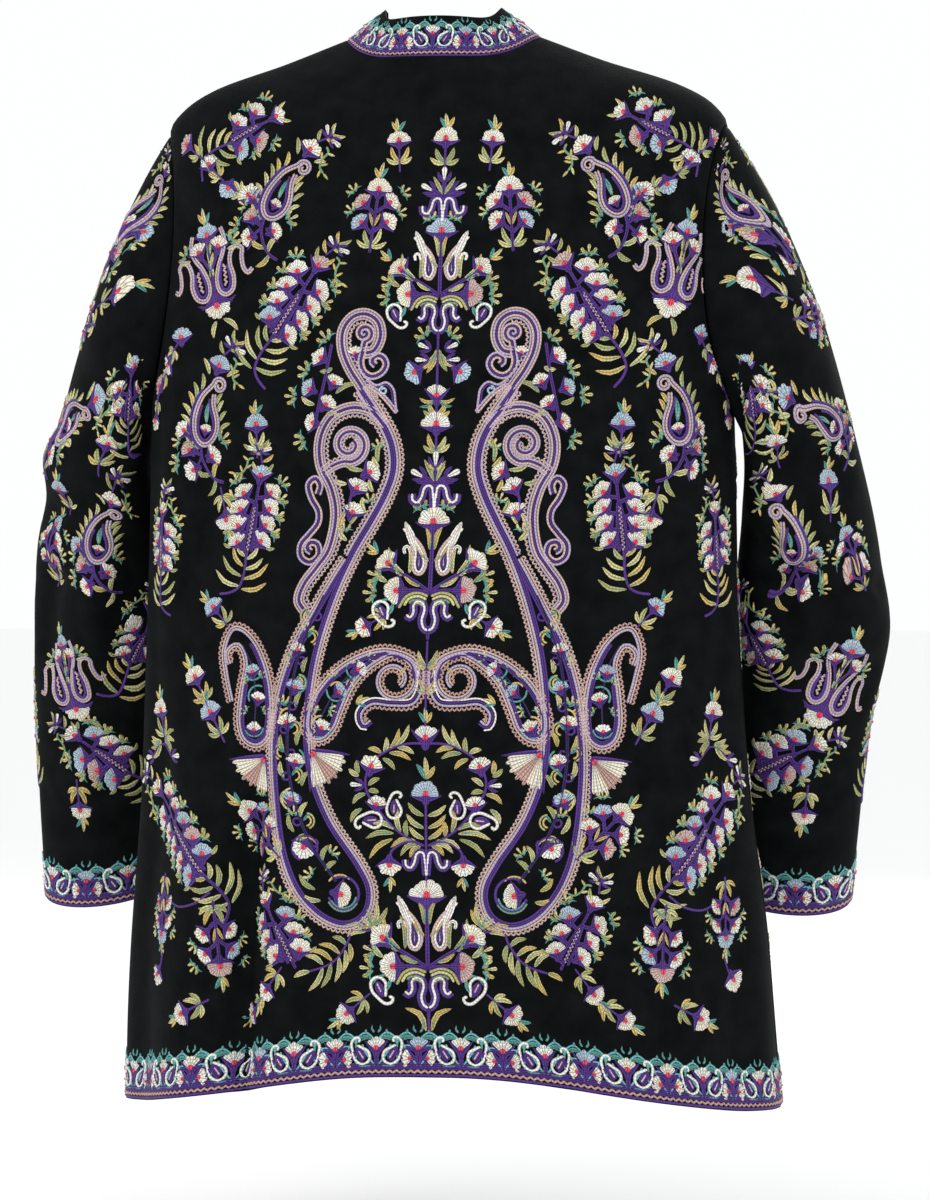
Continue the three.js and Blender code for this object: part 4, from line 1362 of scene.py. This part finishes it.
def scroll_head(place):
    """The three curls at the top of a great scroll, with blossoms and leaves outside them."""
    outer = [
        56 - 245j, 48 - 243j, 43.5 - 233j, 46 - 222j, 55 - 216.5j, 65 - 219j, 71.5 - 229j, 71 - 243j,
        65 - 257j, 57 - 269j, 49 - 282j,
    ]
    pale_band(place, spline(outer))
    picot(place, shift(spline(outer[4:]), -4.4), -1, "blush")
    wheel = spiral(55.5 - 230.5j, 1.6, 6.4, 100, 1.45)
    neck = [
        56 - 244j, 57.4 - 252j, 55 - 259j, 49 - 262.5j, 42 - 260j, 38.5 - 254j, 41 - 248.5j, 46 - 247.5j,
        49 - 251.5j, 46 - 254.5j,
    ]
    trail = [55 - 262j, 46 - 269j, 38 - 267j, 32.5 - 272j, 31 - 280j, 30 - 290j]
    inner = [52 - 270j, 44 - 275j, 37 - 282j, 30.4 - 290j]
    for line, rows in (
        (np.append(wheel, neck), ((0, "violet", 1.7), (1.9, "lilac", 2.3), (-1.8, "blush", 2.3))),
        (trail, ((0, "lilac", 2.3), (2.0, "violet", 1.7))),
        (inner, ((0, "blush", 2.3), (-2.0, "lilac", 2.3))),
    ):
        side_by_side(place, spline(line, 1.7), *rows)
    place.row(spline(spiral(40 - 273j, 3.2, 1.4, 90, -1.2), 1.4), "sky", 1.9, "line", 0.6)
    stem(place, [80 - 238j, 84 - 262j, 88 - 280j, 92 - 300j], 3.0)
    blossoms(
        place, 0.84, 58,
        (87 - 249j, -58, "cream"), (78 - 268j, 30, "cream"), (95 - 272j, -64, "sky"),
        (92 - 297j, -76, "cream"), (84 - 284j, 40, "cream"), (62 - 246j, -6, "cream", 0.62),
    )
    tufts(place, 1, (83 - 236j, -40), (97 - 259j, -64), (106 - 277j, -86), (99 - 309j, -110))
    leaves(
        place, 4.8, 0.16,
        (76 - 275j, 64, 17), (92 - 283j, -60, 12), (83 - 290j, 110, 12), (79 - 256j, -100, 10),
    )


def scroll_loop(place):
    """The loop with a spiral in it, its trailing hook and the small curls beside it."""
    outer = [
        38 - 300j, 49 - 289j, 64 - 286j, 79 - 293j, 87 - 309j, 86 - 328j, 77 - 346j, 73 - 366j, 77 - 390j,
        86 - 404j, 95 - 416j, 99 - 428j, 94 - 436j,
    ]
    loop = spline(outer)
    pale_band(place, loop)
    wheel = spiral(65 - 313j, 13.5, 4.0, -70, -1.45)
    inner = spline(np.append([84 - 334j, 78 - 329j], wheel), 1.7)
    side_by_side(place, inner, (3.4, "lilac", 2.0), (1.6, "blush", 2.2), (0, "violet", 1.6))
    side_by_side(place, inner, (-1.7, "lilac", 2.2))
    picot(place, shift(inner, -2.2), -1, "blush")
    picot(place, shift(loop[4:], -4.4), -1, "blush")
    small = [
        88 - 350j, 86.5 - 343j, 90.5 - 338j, 95.5 - 343j, 92.5 - 353j, 87 - 362j, 87 - 371j, 93 - 379j,
        99.5 - 387j, 99 - 396j, 92 - 400j, 85.5 - 395j, 86.5 - 387j, 92.5 - 385.5j, 94.5 - 390j, 91 - 392.5j,
    ]
    side_by_side(place, spline(small, 1.7), (0, "violet", 1.7), (1.9, "lilac", 2.2), (-1.9, "blush", 2.2))
    stem(place, [52 - 338j, 62 - 350j, 64 - 368j], 2.6)
    blossoms(place, 0.92, 60, (50 - 334j, 62, "cream"), (59 - 346j, 30, "cream"), (61 - 364j, 20, "cream"))
    leaves(
        place, 4.6, 0.14,
        (43 - 326j, 6, 17), (42 - 330j, -34, 10), (54 - 332j, -70, 15), (66 - 342j, -74, 11),
        (46 - 348j, -22, 10), (51 - 364j, -14, 11), (62 - 372j, 40, 10), (70 - 376j, 24, 14),
        (64 - 384j, -34, 12),
    )
    tufts(place, 0.8, (42 - 316j, -20), (48 - 356j, -20), (66 - 378j, -10))


PAISLEY_TOP = -397  # above it the main line is a single band, with scallops on both sides


def lower_paisley(place):
    """The scroll's main line, from its head past the loop and round a great paisley with a flower vine."""
    neck = [58 - 272j, 44 - 292j, 34 - 311j, 31.5 - 331j, 37 - 350j, 47 - 370j]
    left = [60 - 394j, 74 - 428j, 86 - 470j, 91 - 512j, 89 - 553j, 75 - 591j, 53 - 623j]
    bowl = [44 - 642j, 48 - 659j, 63 - 666j, 82 - 658j]
    right = [99 - 637j, 110 - 602j, 115 - 550j, 111 - 503j, 99 - 464j, 82.5 - 434j, 70 - 412j, 62 - 399j]
    line = spline(neck + left + bowl + right)
    single = line[: np.argmax(line.imag < PAISLEY_TOP)]
    side_by_side(place, line, (0, "violet", 3.8), (-2.9, "lilac", 2.4), (-4.9, "blush", 2.0))
    picot(place, shift(line, -5.6), -1, "blush")
    place.row(shift(single, 2.9), "lilac", 2.4)
    picot(place, shift(single, 3.8), 1, "blush")
    vine = [80 - 424j, 90 - 448j, 99 - 474j, 104 - 506j, 105 - 545j, 99 - 580j, 86 - 610j, 68 - 636j]
    stem(place, vine, 3.2, "indigo")
    for i, at in enumerate(spline(vine, 17)[1:-2]):
        side = 1 if i % 2 else -1
        ring = spline(at + spiral(side * 3.0, 4.0, 1.6, 0 if side < 0 else 180, side * 0.9), 1.5)
        place.row(ring, "violet", 2.2)
        leaf(place.put(at - side * 2, side * 50), 8, 3.0, 0.1, "teal", "sage")
        arc(place, at - side * 4.4, 3.6, 90, side * 0.5, "gold", step=1.6)
        arc(place, at - side * 4.6, 5.8, 90, side * 0.45, "olive", step=1.6)
    place.row(spline(spiral(63 - 645j, 13, 11, 60, 0.8), 2), "violet", 2.6)
    place.row(spline(spiral(92 - 612j, 10, 9, 200, -0.75), 2), "violet", 2.4)
    for ring in (
        (63 - 645j, 10.4, -170, 0.4, "teal"), (63 - 645j, 12.6, -150, 0.34, "sage"),
        (65 - 641j, 10.0, 30, 0.3, "gold"), (90 - 612j, 8.0, 60, 0.34, "gold"),
        (101 - 576j, 8.4, -60, 0.4, "straw"), (100 - 546j, 8.0, 120, 0.4, "teal"),
        (104 - 516j, 7.6, -60, 0.4, "gold"), (98 - 490j, 7.0, 120, 0.4, "teal"),
    ):
        arc(place, *ring, 2.1, 2)
    blossoms(
        place, 0.8, 70,
        (66 - 645j, 100, "cream", 1.05), (92 - 610j, -150, "ivory", 0.95), (103 - 577j, 20, "sky", 0.85),
        (99 - 549j, 10, "cream"), (106 - 520j, -10, "cream"), (100 - 494j, 14, "sky", 0.74),
        (99 - 466j, 10, "cream", 0.7),
    )
    leaves(
        place, 4.8, 0.16,
        (84 - 642j, -40, 15), (80 - 650j, -74, 15), (79 - 622j, 20, 14), (76 - 628j, 54, 12),
        (100 - 600j, -20, 14), (96 - 590j, 30, 13), (94 - 566j, 30, 12), (108 - 560j, -10, 13),
        (98 - 536j, 26, 12), (108 - 540j, -14, 12), (99 - 508j, 20, 12), (94 - 482j, 14, 11),
    )
    tufts(place, 0.8, (86 - 632j, -60), (72 - 616j, 40), (100 - 588j, 0), (108 - 506j, -10), (92 - 452j, 10))


def crossing_paisley(place):
    """One of two paisleys that lean in from the scrolls and meet at the centre in spirals."""
    edge = [
        3 - 486j, 9 - 470j, 32 - 463j, 56 - 470j, 76 - 485j, 89 - 504j, 93 - 521j, 87 - 533j, 76 - 533j,
        67 - 524j, 61 - 509j, 53 - 492j, 42 - 480j,
    ]
    hook = spiral(24 - 487j, 17, 4.5, 48, 1.5)
    line = spline(np.append(edge, hook[1:]))
    picot(place, line, 1)
    side_by_side(place, line, (-0.9, "blush", 2.0), (-3.0, "lilac", 2.4))
    place.row(shift(line[: round(0.72 * len(line))], -5.6), "violet", 3.0)
    tail = spline([2 - 480j, 3 - 494j, 10 - 505j, 26 - 506j, 40 - 505j, 48 - 512j, 46 - 520j, 41 - 517j], 1.6)
    side_by_side(place, tail, (0, "lilac", 2.4), (2.2, "violet", 1.8))
    place.row(shift(tail, 4.2)[:-3], "ivory", 1.8)
    picot(place, shift(tail, -1.4), -1)
    stem(place, [36 - 471j, 56 - 482j, 70 - 499j, 80 - 517j], 1.8, "indigo")
    blossoms(place, 0.8, 56, (79 - 524j, 30, "cream"), (66 - 497j, 50, "sky"), (52 - 480j, 66, "ivory"))
    tufts(place, 0.7, (84 - 512j, -20), (73 - 509j, 110), (58 - 486j, 150), (44 - 472j, 60), (70 - 486j, -10))
    for at, size, start in ((79 - 521j, 9, -160), (67 - 495j, 8, -140), (53 - 479j, 7, -120)):
        arc(place, at, size, start, 0.4, "teal")
        arc(place, at, size - 2, start + 170, 0.25, "gold")
    trio(place.put(52 - 505j, 70, 0.9))
    leaf(place.put(20 - 484j, 40), 9, 3.2, 0.1, "gold")


def side_paisley(place):
    """An upright paisley with its tip curled out, on two satin palmettes."""
    line = spline([
        153 - 505j, 158 - 486j, 161 - 466j, 154 - 449j, 142 - 449j, 129 - 462j, 119 - 486j, 116 - 512j,
        119 - 531j, 130 - 539j, 142 - 534j, 147 - 519j, 145 - 495j, 142 - 476j, 147 - 464j, 154 - 468j,
        152 - 476j,
    ])
    picot(place, line, -1)
    side_by_side(place, line, (0.9, "blush", 2.0), (3.0, "lilac", 2.4))
    body = line[round(0.3 * len(line)) : round(0.84 * len(line))]
    place.row(shift(body, 5.6), "violet", 3.2)
    stem(place, [132 - 528j, 131 - 505j, 134 - 480j, 143 - 462j], 1.8, "indigo")
    blossoms(place, 0.74, 58, (132 - 526j, 0, "ivory"), (129 - 503j, 8, "cream"), (134 - 483j, -10, "sky"))
    tufts(place, 0.6, (138 - 512j, -60), (125 - 512j, 60), (138 - 490j, -50), (128 - 486j, 40))
    for at, start in ((132 - 522j, -170), (129 - 500j, -30), (134 - 480j, -170)):
        arc(place, at, 8, start, 0.4, "teal")
    palmette(place.put(86 - 541j, 138))
    palmette(place.put(124 - 546j, -138))


def wreath(place):
    """One side of the ring of blossoms and leaves round the lower centre."""
    ring = [0 - 534j, 12 - 534j, 24 - 537j, 38 - 546j, 45 - 560j, 42 - 574j, 26 - 594j, 14 - 603j, 1 - 609j]
    stem(place, ring, 2.4)
    stem(place, [1 - 609j, 14 - 606j, 25 - 612j, 27 - 618j], 2.6)
    spots = (41 - 552j, 14, "cream"), (37 - 580j, 8, "cream", 0.88), (27.5 - 622j, 180, "cream")
    blossoms(place, 0.98, 66, *spots)
    trio(place.put(27.5 - 632j, 182, 0.85))
    bud(place.put(46 - 565j, -86, 0.9))
    mini_paisley(place.put(24 - 589j, 3), 19)
    mini_paisley(place.put(33 - 590j, -94, 1, -1), 20)
    leaves(
        place, 4.8, 0.14,
        (22 - 536j, 34, 19, -0.12), (27 - 539j, 20, 17, -0.12), (31 - 541j, 6, 12, -0.1),
        (33 - 541j, -72, 10, -0.14), (21 - 537j, 112, 14), (27 - 541j, 113, 16), (32 - 545j, 132, 12),
        (50 - 556j, -4, 10, 0.12), (50 - 558j, -50, 9, 0.1), (43 - 565j, 60, 10, 0.12),
        (43 - 569j, 100, 9, 0.12), (45 - 571j, -126, 14, -0.2), (48 - 582j, -146, 14, -0.18),
        (1.6 - 587j, -53, 16), (1.6 - 596j, -49, 17), (1.6 - 604j, -50, 15, 0.12),
        (19 - 599j, 2, 16), (14 - 602j, 4, 13, 0.12), (23 - 597j, -84, 20, -0.16),
        (24 - 600j, -106, 23, -0.14), (25 - 604j, -127, 24, -0.14), (8 - 605j, -112, 19, -0.2),
        (6 - 607j, -125, 17, -0.2), (4 - 609j, -136, 12, -0.2),
    )


def between_bouquets(place):
    """The ornaments on the stem between the upper two bouquets."""
    for side in sides(place):
        tuft(side.put(9 - 234j, -38))
        bud(side.put(5 - 243j, -66, 0.9))
        bud(side.put(6 - 251j, -86, 0.9))
        blossom(side.put(16 - 259j, -118, 0.92), "sky", spread=70)
        leaf(side.put(1 - 243j, -162), 18, 5.0, 0.1)
        leaf(side.put(2 - 246j, -136), 15, 4.8, 0.14)
        for turn, thread in ((-70, "gold"), (-104, "teal")):
            leaf(side.put(2 - 281j, turn), 11, 3.2, 0.2, thread)
    stem(place, [-235j, -262j, -318j], 2.4)
    cup(place.put(-278j), "cream")
    blossom(place.put(-299j, 0, 1.1), "cream")
    leaf_pair(place.put(-292j))
    leaf_pair(place.put(-318j), 14)
    leaf_pair(place.put(-332j, 0, 0.8), 11)


# What grows to each side between the scrolls and the seams: a motif, its foot, its turn, its size and whether
# it is mirrored, with its own options.
FIELD = [
    (sprig, 34 - 104j, -4, 0.94, 1, {}),
    (small_spray, 53 - 163j, 6, 0.98, 1, {}),
    (spray, 127 - 233j, 33, 0.98, -1, {"long": 76, "seed": 1}),
    (spray, 143 - 394j, 9, 0.94, 1, {"long": 74, "seed": 3}),
    (sprig, 137 - 316j, -3, 0.98, 1, {"petals": "sky"}),
    (spray, 226 - 408j, 4, 0.9, -1, {"long": 62, "seed": 5, "pairs": 3}),
    (fringed_paisley, 133 - 143j, 26, 1.0, 1, {}),
    (spray, 172 - 84j, 64, 0.92, -1, {"long": 58, "seed": 2, "pairs": 2, "tip": False}),
    (double_paisley, 174 - 205j, -14, 1.08, 1, {}),
    (fringed_paisley, 183 - 312j, 8, 1.02, 1, {"seed": 1}),
    (sprig, 166 - 350j, 166, 0.98, 1, {}),
    (sprig, 158 - 446j, -44, 0.9, 1, {"petals": "sky"}),
    (sprig, 160 - 529j, -30, 1.02, 1, {"petals": "sky"}),
    (sprig, 175 - 503j, -30, 1.02, 1, {}),
    (sprig, 226 - 532j, -6, 1.04, 1, {}),
    (spray, 186 - 634j, -43, 1.02, 1, {"long": 92, "seed": 6, "pairs": 5}),
    (small_spray, 116 - 614j, -46, 0.98, 1, {"seed": 2}),
    (spray, 101 - 697j, -27, 0.92, -1, {"long": 66, "seed": 7, "pairs": 3, "foot": False}),
    (sprig, 192 - 729j, -116, 1.0, 1, {}),
    (small_spray, 180 - 660j, 176, 1.0, 1, {"seed": 3}),
    (small_spray, 238 - 642j, 182, 0.92, 1, {"seed": 1}),
    (sprig, 114 - 704j, -142, 0.9, 1, {}),
    (sprig, 133 - 726j, -126, 0.9, 1, {}),
]


def field(place):
    """All that grows on one side of the back."""
    for motif, foot, turn, size, hand, options in FIELD:
        motif(place.put(foot, turn, size, hand), **options)
    chain_of(place, [150 - 126j, 168 - 118j, 188 - 101j, 212 - 84j], [-30, -150, -20, -60])
    chain_of(place, [203 - 232j, 218 - 250j, 238 - 267j, 247 - 291j], [-8, -130, -60, -170], 1)
    stem(place, [182 - 646j, 196 - 655j, 214 - 658j, 232 - 652j])
    stem(place, [236 - 690j, 240 - 702j, 246 - 712j])
    blossom(place.put(246 - 710j, -150), "cream")
    sprig(place.put(34 - 440j, -120, 0.84))
    sprig(place.put(48 - 721j, -130, 0.92))
    stem(place, [52 - 664j, 42 - 671j, 56 - 672j, 60 - 680j, 68 - 692j, 77 - 698j, 89 - 702j])
    leaves(
        place, 4.8, 0.12,
        (42 - 670j, 12, 23, -0.14), (43 - 671j, -4, 15, -0.12), (41 - 668j, 36, 17, -0.12),
        (45 - 670j, -84, 18, -0.18), (46 - 672j, -104, 14, -0.16), (59 - 681j, 178, 14),
        (62 - 686j, -166, 16), (67 - 691j, -164, 19), (73 - 695j, -156, 20),
        (79 - 699j, -152, 21), (61 - 682j, -66, 13, -0.18),
        (66 - 689j, -68, 16, -0.18), (72 - 694j, -66, 18, -0.18), (79 - 697j, -62, 16, -0.18),
        (89 - 702j, -116, 14, -0.1),
    )
    for foot, turn in ((226 - 536j, 92), (231 - 536j, -110)):
        for i in range(4):
            leaf(place.put(foot, turn - 24 + 22 * i), 19 - 2 * i, 4.8, 0.16)
    stem(place, [212 - 548j, 220 - 543j, 228 - 538j, 238 - 542j, 244 - 550j])
    for foot, turn in ((213 - 547j, 84), (243 - 548j, -96)):
        bud(place.put(foot, turn))


def middle_line(z):
    """Moves the embroidery to the right of the centre back, and less so below the waist."""
    return z + 12 - 8 * smooth((-z.imag - 300) / 240)


middle = Place(back_ground, middle_line)
sprig(middle.put(-105j, 0, 1.04))
for foot, size, top in ((-202j, 1.0, "sky"), (-421j, 1.08, "cream"), (-697j, 1.1, "cream")):
    bouquet(middle.put(foot, 0, size), top)
for foot, size in ((-156j, 1.0), (-371j, 1.08)):
    small_crest(middle.put(foot, 0, size))
lyre(middle.put(-614j))
between_bouquets(middle)
stem(middle, [-458j, -480j, -530j], 2.2)
leaf_pair(middle.put(-478j), 14)
leaf_pair(middle.put(-496j, 0, 0.9), 12)
cup(middle.put(-531j, 0, 1.1), "ivory")
trio(middle.put(-519j))
blossom(middle.put(-572j, 0, 1.15), "sky")
trio(middle.put(-560j, 0, 1.2))
stem(middle, [-640j, -606j, -574j], 2.4)
stem(middle, [-724j, -744j], 2.6)
for side in sides(middle.put(-744j)):
    leaf(side.put(2, -44), 21, 5.2, -0.26)
for half in sides(middle):
    scroll_head(half)
    scroll_loop(half)
    lower_paisley(half)
    crossing_paisley(half)
    side_paisley(half)
    wreath(half)
embroider("back_embroidery_middle", back_ground)
for half in sides(middle):
    field(half)
embroider("back_embroidery_sides", back_ground)


def edge_ground(points, normals, inside):
    """The ground of a border: x runs along an edge from its start, and y away from it."""
    along = np.linalg.norm(np.diff(points, axis=0), axis=2).cumsum(0)
    along = np.concatenate([np.zeros((1, points.shape[1])), along])
    across = np.append(0, np.linalg.norm(np.diff(points[0], axis=0), axis=1).cumsum())
    return Ground(points, normals, np.tile(across, (len(points), 1)), along, inside)


HEM_ROWS = 26


def hem_border(name, first, last):
    """The border that stands on a panel's hem, between two quarter lines of the body."""
    part = (slice(0, HEM_ROWS), slice(first * QUARTER_COLUMNS, last * QUARTER_COLUMNS + 1))
    ground = edge_ground(*(grid[part][:, ::-1] for grid in (body.points, body.normals, on_panel)))
    border(Place(ground), 1.5, ground.measures[0, -1, 0] - 1.5)
    embroider(name, ground)


hem_border("back_hem_border", 1, 3)

# ---- Embroidery on the fronts ----
# Sprays, paisleys and sprigs like the back's, worked on each front alike but mirrored, with the border along
# the hem and up the front edge to the neck.
FRONT_FIELD = [
    (sprig, 88 - 128j, 0, 1.0, 1, {}),
    (small_spray, 138 - 118j, 10, 0.94, 1, {}),
    (fringed_paisley, 82 - 222j, 8, 1.0, 1, {}),
    (double_paisley, 150 - 232j, -10, 1.04, 1, {}),
    (spray, 84 - 352j, 6, 0.98, 1, {"long": 70, "seed": 1}),
    (spray, 150 - 372j, -14, 0.98, -1, {"long": 76, "seed": 3}),
    (fringed_paisley, 214 - 392j, -8, 1.02, 1, {"seed": 1}),
    (sprig, 258 - 352j, -6, 0.98, 1, {"petals": "sky"}),
    (double_paisley, 92 - 470j, 6, 1.08, 1, {"seed": 1}),
    (spray, 168 - 508j, -18, 1.0, 1, {"long": 78, "seed": 5}),
    (spray, 246 - 496j, -6, 0.92, -1, {"long": 68, "seed": 2, "pairs": 3}),
    (fringed_paisley, 82 - 600j, 10, 1.04, 1, {}),
    (small_spray, 140 - 606j, -14, 0.98, 1, {"seed": 2}),
    (sprig, 196 - 590j, -24, 1.0, 1, {}),
    (spray, 226 - 640j, -26, 1.0, 1, {"long": 84, "seed": 4}),
    (double_paisley, 92 - 706j, -4, 1.0, 1, {}),
    (spray, 156 - 716j, -20, 0.92, 1, {"long": 62, "seed": 6, "pairs": 3}),
    (sprig, 216 - 736j, -60, 1.0, 1, {"petals": "sky"}),
    (sprig, 274 - 590j, -8, 1.0, 1, {}),
    (small_spray, 268 - 720j, -14, 0.9, 1, {"seed": 3}),
]
FRONT_SPRIGS = [
    (118 - 196j, 8, "sky"),
    (116 - 300j, -6, "cream"),
    (196 - 300j, 10, "cream"),
    (120 - 424j, -12, "cream"),
    (204 - 452j, 8, "sky"),
    (282 - 436j, -4, "cream"),
    (126 - 548j, 10, "cream"),
    (206 - 536j, -10, "cream"),
    (118 - 664j, -6, "sky"),
    (182 - 664j, 12, "cream"),
    (128 - 744j, -30, "cream"),
    (286 - 650j, 6, "cream"),
]
FRONT_SIZE = 1.08
FRONT_ROWS = 34
HEM_BORDER_HIGH = 36


def front_border(name, columns, along):
    """The border up a front edge, from over the hem's border to the neck."""
    grids = (grid[:, columns].swapaxes(0, 1)[:, ::along] for grid in (body.points, body.normals, on_panel))
    ground = edge_ground(*grids)
    run = ground.measures[0, -1, 0]
    start, end = (HEM_BORDER_HIGH, run - 1.5) if along > 0 else (1.5, run - HEM_BORDER_HIGH)
    border(Place(ground), start, end)
    embroider(name, ground)


for name, hand, first in (("front_left", 1, 3), ("front_right", -1, 0)):
    ground = body_ground(first, first + 1, 4 if hand > 0 else 0)
    place = Place(ground).put(hand=hand)
    for motif, foot, turn, size, side, options in FRONT_FIELD:
        motif(place.put(foot, turn, FRONT_SIZE * size, side), **options)
    for foot, turn, petals in FRONT_SPRIGS:
        sprig(place.put(foot, turn, 0.9), petals)
    embroider(name + "_embroidery", ground)
    hem_border(name + "_hem_border", first, first + 1)
    edge = 4 * QUARTER_COLUMNS
    columns = slice(edge, edge - FRONT_ROWS, -1) if hand > 0 else slice(0, FRONT_ROWS)
    front_border(name + "_edge_border", columns, -hand)

# ---- Embroidery on the sleeves ----
# The same motifs down the middle of each sleeve, outside and inside, with the border round the cuff.
SLEEVE_FIELD = [
    (fringed_paisley, 58 + 516j, 2, 0.98, -1, {}),
    (sprig, 34 + 478j, 58, 0.92, 1, {}),
    (small_spray, 38 + 462j, -96, 0.9, 1, {}),
    (spray, -26 + 402j, -8, 0.84, -1, {"long": 56, "seed": 3, "pairs": 2, "tip": False}),
    (fringed_paisley, 50 + 376j, 44, 1.0, 1, {"seed": 1}),
    (sprig, -8 + 368j, 4, 0.96, 1, {}),
    (fringed_paisley, -8 + 284j, 2, 1.02, 1, {}),
    (sprig, 30 + 322j, -12, 1.0, 1, {"petals": "sky"}),
    (small_spray, 50 + 262j, 10, 0.94, 1, {"seed": 1}),
    (double_paisley, 15 + 160j, -22, 1.08, 1, {}),
    (spray, -32 + 196j, 26, 0.92, 1, {"long": 64, "seed": 5, "pairs": 3}),
    (spray, -30 + 104j, -58, 0.98, 1, {"long": 66, "seed": 2, "pairs": 3}),
    (sprig, 12 + 92j, 176, 1.0, 1, {}),
    (spray, 78 + 108j, -16, 0.9, 1, {"long": 66, "seed": 6, "pairs": 3}),
]
# On a sleeve's other side they lie mirrored about half its girth, a little further down, in millimetres.
GIRTH_HALF, FURTHER_DOWN = 180, 8
CUFF_ROWS = 24
for name, hand in (("sleeve_left", 1), ("sleeve_right", -1)):
    ground = sleeve_ground(hand)
    out = Place(ground).put(hand=-hand)
    for motif, foot, turn, size, side, options in SLEEVE_FIELD:
        motif(out.put(foot, turn, size, side), **options)
        far = GIRTH_HALF - foot.real + 1j * (foot.imag - FURTHER_DOWN)
        motif(out.put(far, -turn, size, -side), **options)
    embroider(name + "_embroidery", ground)
    cloth = sleeve_cloth[hand]
    grids = [grid[::-1][:CUFF_ROWS, ::hand] for grid in (cloth.points, cloth.normals)]
    ground = edge_ground(*grids, np.ones(grids[0].shape[:2]))
    border(Place(ground), 0.2, ground.measures[0, -1, 0] - 0.2)
    embroider(name + "_cuff_border", ground)

# ---- Embroidery on the collar ----
# The border again, a little smaller, standing on the neck seam all round the collar.
COLLAR_QUARTER_MM = 110
COLLAR_BORDER_SIZE = 0.84
grids = [grid[:, ::-1] for grid in (collar_cloth.points, collar_cloth.normals)]
on_collar = (2 - np.abs(collar_columns[::-1])) * COLLAR_QUARTER_MM - OPENING / 2
ground = edge_ground(*grids, np.tile(on_collar, (len(grids[0]), 1)))
border(Place(ground), 2.0, ground.measures[0, -1, 0] - 2.0, COLLAR_BORDER_SIZE)
embroider("collar_border", ground)
